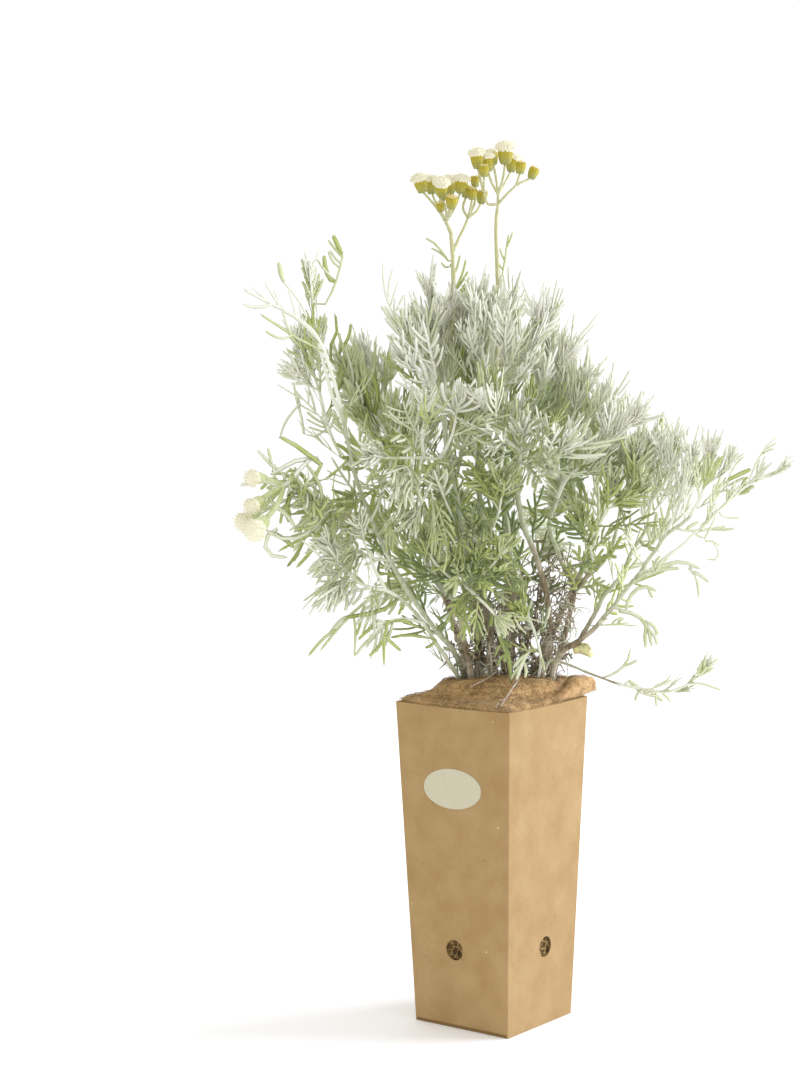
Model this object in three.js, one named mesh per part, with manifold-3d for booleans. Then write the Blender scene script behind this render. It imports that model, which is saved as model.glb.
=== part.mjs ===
// A potted Senecio viravira: a silver-leaved bedding plant in a tall square pot of kraft board.
// Millimetres, +Z up. The origin is the middle of the pot's underside, the labelled face looks along -Y
// and the other face that shows looks along +X.
import * as THREE from "three";
import { mergeVertices } from "three/addons/utils/BufferGeometryUtils.js";
import Module from "manifold-3d";

const wasm = await Module();
wasm.setup();

// Driving dimensions
const POT_HEIGHT = 235.6;
const POT_TOP = 100;
const POT_BOTTOM = 81.7;
const BOARD = 1.2;
const POT_FLOOR = 2.4;
const GAP = 0.3;
const VENT_RADIUS = 7.5;
const VENT_HEIGHT = 58;
const VENT_OFFSET = 3.8;
const LABEL_WIDTH = 50.5;
const LABEL_LENGTH = 29.2;
const LABEL_HEIGHT = 176.4;
const LABEL_OFFSET = -1;
const LABEL_TILT = -2.5;
const LABEL_THICKNESS = 0.4;
const SOIL_TOP = 222;
const ROOT_DEPTH = 2;
const MAT_BASE_GAP = 0.5;
const MAT_RISE = 18;
const MAT_FOLD = 10;
const LEAF_WIDTH = 4.6;
const LEAF_THICKNESS = 1.1;
const LEAF_CLEARANCE = 0.35;
const HEAD_WIDTH = 8.4;
const HEAD_LENGTH = 13;
const SHOOT_RADIUS = [1.5, 0.8];
const BRIDGE_RADIUS = [0.9, 0.9];
const PEDICEL_RADIUS = [0.9, 0.7];

// The eye that the routes below were read from: an 800 by 1067 pixel view. Its frame has X to the right
// and Y away from the eye, and it is turned by VIEW_TURN from the part's own frame.
const VIEW_TURN = THREE.MathUtils.degToRad(37.7);
const EYE = new THREE.Vector3(-66, -1687, 492);
const EYE_PITCH = THREE.MathUtils.degToRad(-4.6);
const EYE_ROLL = THREE.MathUtils.degToRad(0.48);
const FOCAL = 2344;
const VIEW_CENTRE = [400, 533.5];
const UP = new THREE.Vector3(0, 0, 1);
const eyeTurn = new THREE.Matrix4().makeRotationFromEuler(
  new THREE.Euler(EYE_PITCH, EYE_ROLL, 0, "XYZ"));

// A point of the part from its pixel in the view and its depth behind the pot's axis.
function at([px, py, depth]) {
  const ray = new THREE.Vector3((px - VIEW_CENTRE[0]) / FOCAL, 1, (VIEW_CENTRE[1] - py) / FOCAL);
  ray.applyMatrix4(eyeTurn);
  ray.multiplyScalar((depth - EYE.y) / ray.y);
  return ray.add(EYE).applyAxisAngle(UP, VIEW_TURN);
}

// A stem's foot, from its place across the view and away from the eye; the soil's level trims it.
function root(across, away) {
  return new THREE.Vector3(across, away, SOIL_TOP - ROOT_DEPTH).applyAxisAngle(UP, VIEW_TURN);
}

// Joining and cutting closed meshes
const WELD = 1e-4;

function toSolid(geometry) {
  const bare = geometry.clone();
  bare.deleteAttribute("normal");
  bare.deleteAttribute("uv");
  const merged = mergeVertices(bare, WELD);
  return new wasm.Manifold(new wasm.Mesh({
    numProp: 3,
    vertProperties: new Float32Array(merged.attributes.position.array),
    triVerts: new Uint32Array(merged.index.array),
  }));
}

// What stays of a piece after a cut: its largest body.
function mainBody(solid) {
  return solid.decompose().reduce((best, body) => (body.volume() > best.volume() ? body : best));
}

function toGeometry(solid) {
  const mesh = solid.getMesh();
  const geometry = new THREE.BufferGeometry();
  geometry.setAttribute("position", new THREE.BufferAttribute(mesh.vertProperties, 3));
  geometry.setIndex(new THREE.BufferAttribute(mesh.triVerts, 1));
  geometry.computeVertexNormals();
  return geometry;
}

const group = new THREE.Group();

function addPiece(name, solid, colour, roughness = 0.9) {
  const material = new THREE.MeshStandardMaterial({ color: colour, roughness, metalness: 0 });
  const mesh = new THREE.Mesh(toGeometry(solid), material);
  mesh.name = name;
  group.add(mesh);
}

// A closed body through rings of equally many points.
function skin(rings) {
  const sides = rings[0].length;
  const positions = rings.flat().flatMap((point) => [point.x, point.y, point.z]);
  const faces = [];
  for (let i = 0; i < rings.length - 1; i += 1) {
    for (let j = 0; j < sides; j += 1) {
      const k = (j + 1) % sides;
      const low = i * sides;
      const high = low + sides;
      faces.push(low + j, low + k, high + k, low + j, high + k, high + j);
    }
  }
  const last = (rings.length - 1) * sides;
  for (let j = 1; j < sides - 1; j += 1) {
    faces.push(0, j + 1, j);
    faces.push(last, last + j, last + j + 1);
  }
  const geometry = new THREE.BufferGeometry();
  geometry.setAttribute("position", new THREE.Float32BufferAttribute(positions, 3));
  geometry.setIndex(faces);
  return geometry;
}

// A tapering rod along a curve; width and thickness are [start, end] radii across the curve.
function rod(curve, steps, sides, width, thickness = width) {
  const frames = curve.computeFrenetFrames(steps, false);
  const rings = [];
  for (let i = 0; i <= steps; i += 1) {
    const share = i / steps;
    const centre = curve.getPointAt(share);
    const a = THREE.MathUtils.lerp(width[0], width[1], share);
    const b = THREE.MathUtils.lerp(thickness[0], thickness[1], share);
    const ring = [];
    for (let j = 0; j < sides; j += 1) {
      const turn = (2 * Math.PI * j) / sides;
      ring.push(centre.clone()
        .addScaledVector(frames.normals[i], a * Math.cos(turn))
        .addScaledVector(frames.binormals[i], b * Math.sin(turn)));
    }
    rings.push(ring);
  }
  return toSolid(skin(rings));
}

function curveOf(points) {
  return new THREE.CatmullRomCurve3(points, false, "centripetal");
}

// The pot
const VENT_SIDES = 24;

function frustum(bottom, top, low, high) {
  const geometry = new THREE.CylinderGeometry(top * Math.SQRT1_2, bottom * Math.SQRT1_2, high - low, 4);
  geometry.rotateY(Math.PI / 4);
  geometry.rotateX(Math.PI / 2);
  geometry.translate(0, 0, (low + high) / 2);
  return geometry;
}

// The outside width of the pot at a height.
function potWidth(height) {
  return THREE.MathUtils.lerp(POT_BOTTOM, POT_TOP, height / POT_HEIGHT);
}

function kraftPot() {
  const over = 5;
  const inner = 2 * BOARD;
  let pot = toSolid(frustum(POT_BOTTOM, POT_TOP, 0, POT_HEIGHT));
  pot = pot.subtract(toSolid(frustum(
    potWidth(POT_FLOOR) - inner, potWidth(POT_HEIGHT + over) - inner, POT_FLOOR, POT_HEIGHT + over)));
  const alongY = new THREE.CylinderGeometry(VENT_RADIUS, VENT_RADIUS, POT_TOP + over, VENT_SIDES);
  alongY.translate(-VENT_OFFSET, 0, VENT_HEIGHT);
  const alongX = new THREE.CylinderGeometry(VENT_RADIUS, VENT_RADIUS, POT_TOP + over, VENT_SIDES);
  alongX.rotateZ(Math.PI / 2);
  alongX.translate(0, VENT_OFFSET, VENT_HEIGHT);
  return pot.subtract(toSolid(alongY)).subtract(toSolid(alongX));
}

function rootBall() {
  const inner = 2 * (BOARD + GAP);
  const low = POT_FLOOR + GAP;
  return toSolid(frustum(potWidth(low) - inner, potWidth(SOIL_TOP) - inner, low, SOIL_TOP));
}

// The label lies on the -Y face, which leans outwards.
function paperLabel() {
  const outline = new THREE.Shape();
  outline.absellipse(0, 0, LABEL_WIDTH / 2, LABEL_LENGTH / 2, 0, 2 * Math.PI);
  const geometry = new THREE.ExtrudeGeometry(outline,
    { depth: LABEL_THICKNESS, bevelEnabled: false, curveSegments: 16 });
  const lean = Math.atan2((POT_TOP - POT_BOTTOM) / 2, POT_HEIGHT);
  geometry.rotateZ(-THREE.MathUtils.degToRad(LABEL_TILT));
  geometry.rotateX(Math.PI / 2 + lean);
  geometry.translate(LABEL_OFFSET, -potWidth(LABEL_HEIGHT) / 2 - GAP, LABEL_HEIGHT);
  return toSolid(geometry);
}

// The fibre mat is a ring: flush with the board outside, domed, and open where the stems come up.
const MAT_STEPS = 32;
const MOUTH_CENTRE = new THREE.Vector3(10, 7, 0).applyAxisAngle(UP, VIEW_TURN);
const MOUTH_ACROSS = 40;
const MOUTH_AWAY = 19;

function mouthPoint(turn) {
  const c = Math.cos(turn - VIEW_TURN);
  const s = Math.sin(turn - VIEW_TURN);
  const power = 4;
  const reach = (Math.abs(c / MOUTH_ACROSS) ** power + Math.abs(s / MOUTH_AWAY) ** power) ** (-1 / power);
  return new THREE.Vector3(c * reach, s * reach, 0).applyAxisAngle(UP, VIEW_TURN).add(MOUTH_CENTRE);
}

function fibreMat() {
  const half = potWidth(SOIL_TOP) / 2 - BOARD - MAT_BASE_GAP;
  const foldTurn = Math.PI / 4;
  const foldSpread = 0.35;
  const rings = [];
  for (let i = 0; i < MAT_STEPS; i += 1) {
    const turn = (2 * Math.PI * i) / MAT_STEPS;
    const reach = half / Math.max(Math.abs(Math.cos(turn)), Math.abs(Math.sin(turn)));
    const edge = new THREE.Vector3(Math.cos(turn) * reach, Math.sin(turn) * reach, 0);
    const inner = mouthPoint(turn);
    const away = Math.atan2(Math.sin(turn - foldTurn), Math.cos(turn - foldTurn));
    const fold = Math.exp(-((away / foldSpread) ** 2));
    const spread = 1 + (MAT_FOLD * fold) / reach;
    const rise = MAT_RISE * (0.7 + 0.3 * Math.max(0, -Math.sin(turn - VIEW_TURN)));
    // Share of the way from the opening to the wall, stretch beyond the wall, and height.
    const profile = [
      [1, 1, SOIL_TOP + GAP],
      [1, 1, POT_HEIGHT + 1],
      [1, spread, POT_HEIGHT + 1 + 5 * fold],
      [0.9, spread, POT_HEIGHT + 3 + 11 * fold],
      [0.6, 1, POT_HEIGHT + 4 + 10 * fold],
      [0.35, 1, POT_HEIGHT + 0.65 * rise + 5 * fold],
      [0.12, 1, POT_HEIGHT + rise],
      [0, 1, POT_HEIGHT + rise - 6],
      [0, 1, SOIL_TOP + GAP],
    ];
    rings.push(profile.map(([share, stretch, height]) => {
      const point = inner.clone().lerp(edge.clone().multiplyScalar(stretch), share);
      point.z = height;
      return point;
    }));
  }
  const sides = rings[0].length;
  const faces = [];
  for (let i = 0; i < MAT_STEPS; i += 1) {
    const next = ((i + 1) % MAT_STEPS) * sides;
    for (let j = 0; j < sides; j += 1) {
      const k = (j + 1) % sides;
      faces.push(i * sides + j, next + j, next + k, i * sides + j, next + k, i * sides + k);
    }
  }
  const geometry = new THREE.BufferGeometry();
  const positions = rings.flat().flatMap((point) => [point.x, point.y, point.z]);
  geometry.setAttribute("position", new THREE.Float32BufferAttribute(positions, 3));
  geometry.setIndex(faces);
  return toSolid(geometry);
}

// Main stems. A route starts on the soil and goes on through points [across, down, depth] of the view.
const STEMS = {
  stem_tall_left: {
    radius: [2.9, 1.6],
    root: [-17, 8],
    way: [[466, 684, 7], [460, 664, 0], [450, 646, -10], [440, 635, -17], [431, 624, -24],
      [412, 597, -34], [400, 578, -39], [385, 550, -45], [376, 530, -49], [368, 511, -52],
      [360, 490, -54], [353, 468, -56], [349, 447, -58], [345, 428, -60], [341, 408, -62]],
  },
  stem_low_left: {
    radius: [2.2, 1.6],
    root: [-23, -1],
    way: [[460, 686, -1], [458, 677, -4], [452, 667, -14], [443, 653, -26], [435, 642, -33], [428, 630, -39],
      [419, 617, -45], [409, 606, -51], [398, 597, -57]],
  },
  stem_mid_left: {
    radius: [2.6, 1.4],
    root: [-11, -4],
    way: [[472, 682, -6], [469, 660, -10], [464, 640, -14], [460, 618, -18], [453, 600, -22],
      [441, 588, -26], [432, 574, -28], [424, 556, -30], [416, 538, -30], [408, 520, -28],
      [400, 502, -26], [392, 486, -24]],
  },
  stem_centre_left: {
    radius: [3.0, 1.8],
    root: [-8, 7],
    way: [[478, 682, 6], [478, 655, 3], [478, 630, 0], [476, 605, -4], [471, 580, -8],
      [466, 550, -12], [462, 523, -16], [458, 505, -20], [454, 490, -24], [450, 466, -28],
      [446, 440, -32], [444, 420, -36], [442, 408, -38]],
  },
  stem_centre: {
    radius: [2.8, 1.6],
    root: [2, -4],
    way: [[491, 682, -4], [491, 655, -4], [489, 630, -2], [485, 605, 0], [482, 580, 2],
      [483, 550, 2], [483, 520, 0], [480, 500, -4], [477, 478, -8], [479, 452, -12],
      [484, 430, -16], [487, 408, -20], [487, 388, -22]],
  },
  stem_centre_right: {
    radius: [3.0, 1.6],
    root: [12, 4],
    way: [[507, 682, 4], [511, 655, 5], [513, 625, 6], [514, 600, 8], [512, 575, 12],
      [509, 545, 16], [506, 515, 18], [503, 485, 20], [501, 455, 20], [500, 425, 18]],
  },
  stem_inner_right: {
    radius: [3.0, 2.0],
    root: [27, 3],
    way: [[533, 690, 4], [540, 668, 3], [547, 642, 0], [549, 615, -3], [546, 592, -6],
      [541, 573, -8], [532, 546, -12], [525, 530, -14], [521, 515, -15], [518, 498, -16],
      [517, 480, -17], [517, 460, -18], [516, 446, -18], [514, 434, -18]],
  },
  stem_right_inner: {
    radius: [3.2, 2.0],
    root: [38, 9],
    way: [[548, 690, 10], [555, 668, 12], [562, 645, 14], [568, 622, 14], [573, 602, 12],
      [575, 590, 10]],
    forks: [
      { radius: [2.1, 1.6],
        way: [[575, 590, 10], [570, 577, 8], [562, 563, 4], [555, 545, 0], [550, 530, -2],
          [550, 519, -3], [555, 504, -2], [560, 490, 0], [562, 475, 0], [561, 458, 0]] },
      { radius: [2.1, 1.4],
        way: [[575, 590, 10], [588, 576, 6], [597, 568, 2], [607, 556, -2], [613, 543, -6],
          [617, 528, -8], [620, 512, -10], [622, 498, -10]] },
    ],
  },
  stem_right_fork: {
    radius: [3.0, 2.6],
    root: [43, -1],
    way: [[552, 690, -2], [553, 672, -4], [558, 657, -8], [567, 648, -14], [579, 641, -20]],
    forks: [
      { radius: [2.2, 1.5],
        way: [[579, 641, -20], [594, 629, -28], [604, 617, -33], [613, 607, -38], [620, 597, -42],
          [630, 585, -47], [640, 573, -52], [648, 560, -56], [656, 550, -60], [666, 535, -64],
          [680, 525, -68], [690, 517, -72]] },
      { radius: [2.2, 1.5],
        way: [[579, 641, -20], [590, 622, -20], [597, 610, -20], [603, 597, -20], [612, 587, -20],
          [620, 577, -20], [626, 565, -20], [632, 552, -20], [640, 540, -20], [648, 525, -20]] },
    ],
  },
  stem_trailing: {
    radius: [1.8, 1.2],
    root: [34, -6],
    way: [[541, 700, -5], [542, 682, -6], [545, 669, -12], [551, 660, -20], [560, 662, -27], [572, 666, -33],
      [586, 672, -40], [602, 678, -46], [618, 684, -52]],
  },
  stem_back_left: {
    radius: [2.8, 1.8],
    root: [-13, 17],
    way: [[469, 700, 17], [469, 680, 17], [465, 660, 27], [456, 630, 44], [446, 600, 56],
      [437, 570, 68], [430, 540, 78], [424, 510, 86]],
  },
  stem_back_mid: {
    radius: [2.8, 1.8],
    root: [8, 18],
    way: [[504, 700, 18], [505, 680, 18], [506, 657, 32], [508, 620, 58], [508, 580, 80],
      [506, 540, 98], [504, 500, 112]],
  },
  stem_back_right: {
    radius: [2.8, 1.8],
    root: [25, 17],
    way: [[530, 700, 17], [532, 680, 17], [541, 658, 31], [554, 630, 48], [568, 600, 63],
      [582, 570, 76], [594, 540, 88], [604, 510, 96]],
  },
};

// Leafy shoots. Each grows out of a stem (its first way starts on it), carries leaves round its outer
// part, and may have leaf tips that reach a known place.
const SHOOTS = {
  shoot_far_left: {
    on: "stem_tall_left",
    ways: [[[341, 409, -62], [335, 385, -64], [329, 365, -66], [322, 346, -68], [313, 331, -70],
      [300, 320, -72], [285, 310, -74], [270, 304, -76]]],
    leaves: 2,
    length: 28,
    tips: [[243, 289, -84], [243, 304, -82], [262, 283, -80], [280, 263, -70], [260, 314, -84]],
  },
  shoot_left_silver: {
    on: "stem_tall_left",
    ways: [[[344, 424, -60], [332, 395, -50], [324, 365, -42], [318, 340, -38], [313, 310, -36],
      [311, 285, -36]]],
    leaves: 4,
    length: 38,
    tips: [[334, 236, -30], [317, 258, -34]],
  },
  shoot_left_column: {
    on: "stem_tall_left",
    ways: [[[353, 468, -56], [342, 455, -44], [333, 440, -36], [326, 420, -30], [321, 398, -26],
      [314, 375, -24], [305, 355, -24]]],
    leaves: 4,
    length: 36,
    tips: [[293, 381, -30], [280, 437, -44]],
  },
  shoot_left_green: {
    on: "stem_mid_left",
    ways: [[[395, 492, -25], [391, 465, -16], [387, 440, -12], [379, 421, -10], [366, 409, -10],
      [355, 398, -10], [349, 382, -10]]],
    leaves: 4,
    length: 32,
    tips: [[351, 323, -8]],
  },
  shoot_left_peak: {
    on: "stem_mid_left",
    ways: [[[404, 511, -27], [400, 480, -4], [392, 448, 12], [382, 420, 20], [373, 394, 24],
      [367, 372, 26]]],
    leaves: 4,
    length: 38,
    tips: [[388, 351, 20]],
  },
  shoot_left_rosette: {
    on: "stem_mid_left",
    ways: [[[392, 487, -24], [384, 480, -36], [376, 474, -48], [365, 468, -60]],
      [[384, 480, -36], [382, 494, -54], [377, 508, -66], [370, 522, -72]]],
    leaves: 7,
    length: 32,
  },
  shoot_level_left: {
    on: "stem_centre_left",
    ways: [[[450, 466, -28], [438, 460, -46], [424, 458, -62], [405, 458, -76], [385, 458, -88]],
      [[438, 460, -46], [434, 474, -62], [428, 490, -72], [420, 506, -76]],
      [[424, 458, -62], [422, 442, -70], [424, 424, -74]],
      [[438, 460, -46], [446, 448, -58], [453, 432, -64], [456, 416, -66]]],
    leaves: 11,
    length: 32,
  },
  shoot_low_left: {
    on: "stem_low_left",
    ways: [[[398, 597, -57], [386, 590, -64], [372, 588, -70], [358, 582, -76], [346, 571, -80],
      [336, 556, -82]],
    [[386, 590, -64], [377, 574, -68], [370, 558, -72], [364, 540, -76]]],
    leaves: 5,
    length: 32,
    droop: 0.8,
    tips: [[317, 560, -90], [333, 590, -88]],
  },
  shoot_hanging_left: {
    on: "stem_low_left",
    ways: [[[424, 624, -42], [412, 620, -54], [398, 619, -64], [386, 622, -70]]],
    leaves: 2,
    length: 26,
    droop: 1.2,
    tips: [[384, 667, -74], [358, 640, -80], [401, 651, -64], [345, 618, -86]],
  },
  shoot_left_spread: {
    on: "stem_tall_left",
    ways: [[[376, 530, -49], [366, 532, -30], [354, 530, -14], [340, 524, 0], [326, 515, 10]]],
    leaves: 5,
    length: 34,
    droop: 0.6,
  },
  shoot_top_left: {
    on: "stem_centre_left",
    ways: [[[442, 409, -38], [434, 392, -42], [424, 372, -45], [412, 350, -47], [402, 328, -48],
      [395, 310, -49]],
    [[434, 392, -42], [430, 362, -34], [421, 335, -28], [414, 312, -26]]],
    leaves: 5,
    length: 38,
    tips: [[383, 261, -46]],
  },
  shoot_top_peak: {
    on: "stem_centre_left",
    ways: [[[444, 420, -36], [446, 392, -24], [443, 360, -16], [438, 332, -14], [433, 308, -14]]],
    leaves: 4,
    length: 38,
    tips: [[427, 276, -14]],
  },
  shoot_top_beside_stalk: {
    on: "stem_centre",
    ways: [[[478, 462, -11], [471, 430, -2], [465, 398, 4], [463, 364, 6], [463, 335, 6]]],
    leaves: 4,
    length: 38,
    tips: [[461, 299, 6]],
  },
  shoot_top_middle: {
    on: "stem_centre",
    ways: [[[487, 389, -22], [484, 365, -24], [480, 340, -24], [477, 315, -24]],
      [[485, 372, -23], [489, 345, -12], [490, 318, -8]]],
    leaves: 5,
    length: 36,
    tips: [[475, 280, -22]],
  },
  shoot_top_behind_stalk: {
    on: "stem_centre_right",
    ways: [[[500, 426, 18], [504, 400, 24], [508, 372, 26], [510, 344, 26], [510, 320, 26]]],
    leaves: 4,
    length: 36,
    tips: [[510, 296, 24]],
  },
  shoot_top_slanting: {
    on: "stem_centre",
    ways: [[[487, 408, -20], [494, 390, -32], [505, 371, -40], [517, 357, -46], [530, 344, -50],
      [541, 331, -52]]],
    leaves: 4,
    length: 34,
    tips: [[536, 300, -48]],
  },
  shoot_top_right_a: {
    on: "stem_right_inner",
    ways: [[[562, 473, 0], [563, 445, 14], [560, 415, 24], [556, 386, 30], [552, 362, 32]]],
    leaves: 4,
    length: 36,
    tips: [[550, 334, 32]],
  },
  shoot_top_right_b: {
    on: "stem_inner_right",
    ways: [[[514, 435, -18], [524, 420, -20], [537, 405, -20], [549, 388, -20], [560, 368, -20]]],
    leaves: 4,
    length: 36,
    tips: [[578, 331, -18]],
  },
  shoot_top_right_c: {
    on: "stem_right_inner",
    ways: [[[561, 459, 0], [566, 438, -10], [574, 415, -16], [582, 395, -18]]],
    leaves: 4,
    length: 34,
    tips: [[592, 374, -18]],
  },
  shoot_right_crown: {
    on: "stem_right_inner",
    ways: [[[622, 499, -10], [613, 472, -4], [606, 446, 4], [603, 420, 8]]],
    leaves: 4,
    length: 34,
    tips: [[618, 386, 8]],
  },
  shoot_right_slanting: {
    on: "stem_right_inner",
    ways: [[[557, 498, -1], [566, 480, -16], [580, 467, -28], [598, 452, -38], [616, 437, -44],
      [630, 426, -48]]],
    leaves: 4,
    length: 32,
    tips: [[646, 417, -50]],
  },
  shoot_right_green: {
    on: "stem_right_inner",
    ways: [[[618, 522, -9], [624, 500, -22], [629, 480, -28], [634, 464, -32]]],
    leaves: 4,
    length: 32,
    tips: [[645, 444, -34]],
  },
  shoot_right_high: {
    on: "stem_right_fork",
    ways: [[[648, 526, -20], [651, 502, -16], [655, 478, -14], [657, 458, -14]],
      [[651, 502, -16], [664, 484, -26], [672, 462, -30]]],
    leaves: 5,
    length: 34,
    tips: [[652, 430, -12], [673, 425, -30]],
  },
  shoot_right_brush: {
    on: "stem_right_fork",
    ways: [[[666, 535, -64], [676, 512, -60], [684, 490, -58], [690, 470, -58]],
      [[690, 516, -72], [699, 500, -74], [705, 482, -76], [709, 466, -76]]],
    bridge: true,
    leaves: 5,
    length: 34,
    tips: [[691, 443, -56], [711, 443, -76]],
  },
  shoot_right_long: {
    on: "stem_right_fork",
    ways: [[[640, 573, -52], [650, 570, -60], [660, 562, -66], [672, 553, -71], [683, 545, -75],
      [695, 533, -79], [705, 525, -82], [722, 507, -86], [735, 496, -89], [745, 487, -91],
      [760, 480, -93], [775, 474, -95]]],
    leaves: 5,
    length: 30,
    tips: [[789, 468, -98], [772, 437, -94], [745, 457, -88], [783, 466, -104]],
  },
  shoot_right_low: {
    on: "stem_right_fork",
    ways: [[[613, 607, -38], [622, 610, -50], [632, 613, -58], [641, 618, -64]]],
    leaves: 2,
    length: 26,
    droop: 1.2,
    tips: [[652, 647, -70], [650, 588, -60]],
  },
  shoot_right_inside: {
    on: "stem_right_inner",
    ways: [[[592, 572, 4], [592, 556, -14], [588, 540, -28], [582, 524, -38]],
      [[588, 540, -28], [598, 526, -34], [606, 510, -38], [610, 494, -40]]],
    leaves: 7,
    length: 30,
  },
  shoot_trailing: {
    on: "stem_trailing",
    ways: [[[618, 684, -52], [631, 687, -58], [643, 689, -62], [655, 691, -66], [668, 692, -70],
      [680, 688, -73], [692, 682, -76], [700, 674, -78]]],
    leaves: 4,
    length: 22,
    tips: [[717, 658, -80], [722, 690, -84], [656, 705, -64]],
  },
  shoot_new_pale: {
    root: [29, -4],
    ways: [["root", [535, 692, -5], [539, 674, -9], [541, 661, -16], [537, 640, -25], [531, 622, -29],
      [526, 610, -31], [522, 598, -33]]],
    leaves: 4,
    length: 26,
    droop: 0.3,
    tips: [[513, 677, -34]],
  },
  shoot_front_centre: {
    on: "stem_centre",
    ways: [[[483, 552, 2], [480, 546, -16], [476, 541, -34], [473, 536, -50]],
      [[480, 546, -16], [490, 532, -30], [498, 514, -40], [502, 494, -46]],
      [[476, 541, -34], [464, 530, -48], [452, 515, -56], [444, 498, -60]]],
    leaves: 10,
    length: 32,
  },
  shoot_front_right: {
    on: "stem_inner_right",
    ways: [[[517, 470, -18], [520, 462, -34], [521, 450, -50], [522, 438, -62]],
      [[520, 462, -34], [532, 466, -46], [545, 464, -56], [558, 454, -62]],
      [[521, 450, -50], [509, 442, -62], [497, 430, -68], [488, 416, -70]]],
    leaves: 9,
    length: 30,
  },
  shoot_front_low: {
    on: "stem_centre_left",
    ways: [[[474, 595, -6], [468, 590, -24], [464, 583, -42], [461, 576, -56]],
      [[468, 590, -24], [454, 580, -44], [440, 568, -56], [428, 552, -62]],
      [[464, 583, -42], [476, 578, -56], [488, 570, -64], [498, 558, -68]],
      [[468, 590, -24], [460, 602, -40], [451, 612, -50], [443, 620, -56]],
      [[464, 583, -42], [474, 594, -54], [485, 604, -60], [494, 614, -62]]],
    leaves: 14,
    length: 30,
    droop: 0.7,
  },
  shoot_back_left: {
    on: "stem_back_left",
    ways: [[[424, 511, 86], [414, 480, 92], [402, 450, 98], [392, 425, 100]],
      [[414, 480, 92], [424, 450, 106], [430, 420, 112], [432, 392, 112]]],
    leaves: 8,
    length: 40,
  },
  shoot_back_left_low: {
    on: "stem_back_left",
    ways: [[[446, 600, 56], [428, 584, 76], [410, 566, 92], [394, 545, 104], [382, 522, 110]],
      [[428, 584, 76], [436, 564, 90], [446, 540, 96], [454, 514, 98]]],
    leaves: 9,
    length: 36,
    droop: 0.4,
  },
  shoot_back_mid: {
    on: "stem_back_mid",
    ways: [[[504, 501, 112], [496, 470, 116], [486, 440, 116], [478, 410, 112], [474, 380, 106]],
      [[504, 501, 112], [514, 468, 124], [524, 436, 128], [530, 405, 126]],
      [[504, 501, 112], [492, 512, 122], [480, 530, 128], [470, 550, 130]],
      [[504, 501, 112], [520, 506, 120], [536, 522, 124], [546, 540, 124]]],
    leaves: 14,
    length: 36,
  },
  shoot_back_right: {
    on: "stem_back_right",
    ways: [[[604, 511, 96], [610, 482, 100], [612, 455, 100], [610, 430, 96]],
      [[604, 511, 96], [622, 494, 104], [638, 478, 106], [650, 462, 104]],
      [[604, 511, 96], [590, 500, 106], [574, 492, 112], [560, 478, 114]]],
    leaves: 11,
    length: 36,
  },
};

// Flower stalks with their pedicels and heads, as [across, down, depth] of the view.
const FLOWERS = {
  flower_stalk_left: {
    on: "stem_centre_left",
    radius: [2.0, 1.5],
    way: [[448, 455, -30], [452, 425, -8], [452, 390, -2], [451, 350, -2], [451, 315, -2],
      [453, 290, -2], [453, 262, -2], [451, 232, -2]],
    forks: [
      { radius: [1.2, 0.9],
        way: [[453, 252, -2], [459, 238, 0], [464, 228, 2], [468, 218, 4]] },
    ],
    pedicels: [
      [[468, 218, 4], [463, 208, 10], [466, 197, 14]],
      [[468, 218, 4], [471, 206, -4], [472, 199, -6]],
      [[468, 218, 4], [477, 211, 8], [481, 203, 12]],
      [[468, 218, 4], [475, 202, 18], [475, 186, 24]],
    ],
  },
  corymb_left: {
    on: "flower_stalk_left",
    radius: [1.5, 1.0],
    way: [[451, 233, -2], [446, 222, -4], [440, 212, -6]],
    pedicels: [
      [[440, 212, -6], [431, 201, -8], [423, 192, -10]],
      [[440, 212, -6], [435, 201, 0], [432, 193, 4]],
      [[440, 212, -6], [440, 202, -12], [441, 196, -18]],
      [[446, 222, -4], [450, 207, 8], [450, 194, 12]],
      [[446, 222, -4], [455, 207, -4], [460, 193, -6]],
      [[446, 222, -4], [449, 214, -16], [451, 208, -22]],
    ],
  },
  flower_stalk_right: {
    on: "stem_centre_right",
    radius: [1.9, 1.4],
    way: [[501, 440, 19], [498, 410, 8], [496, 380, 2], [497, 340, 0], [498, 300, 0],
      [497, 260, 0], [496, 230, 0], [497, 212, 0]],
  },
  corymb_right: {
    on: "flower_stalk_right",
    radius: [1.4, 1.0],
    way: [[497, 213, 0], [498, 204, 0], [498, 194, 0]],
    pedicels: [
      [[498, 204, 0], [488, 204, -2], [484, 192, -4], [480, 178, -6], [478, 168, -6]],
      [[484, 192, -4], [484, 184, -12], [484, 176, -14]],
      [[498, 194, 0], [491, 181, -2], [488, 171, -2]],
      [[498, 194, 0], [503, 178, 0], [505, 164, 0]],
      [[498, 194, 0], [505, 183, 12], [511, 171, 18]],
      [[498, 204, 0], [508, 193, -4], [516, 185, -6], [520, 173, -8]],
      [[516, 185, -6], [525, 181, -4], [531, 178, -2]],
      [[498, 194, 0], [496, 178, 14], [493, 164, 20]],
    ],
  },
  flower_branch_drooping: {
    on: "stem_tall_left",
    radius: [2.0, 1.4],
    way: [[369, 513, -52], [358, 516, -60], [345, 513, -68], [330, 511, -76], [318, 508, -82],
      [312, 496, -86], [300, 487, -90], [285, 485, -94]],
    pedicels: [
      [[300, 487, -90], [281, 484, -95], [264, 478, -98]],
      [[285, 485, -94], [272, 492, -98], [262, 499, -100]],
      [[285, 485, -94], [270, 500, -90], [257, 512, -88]],
      [[285, 485, -94], [277, 505, -104], [266, 519, -108]],
    ],
    headLean: [-0.8, 0, -0.55],
  },
};

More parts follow.
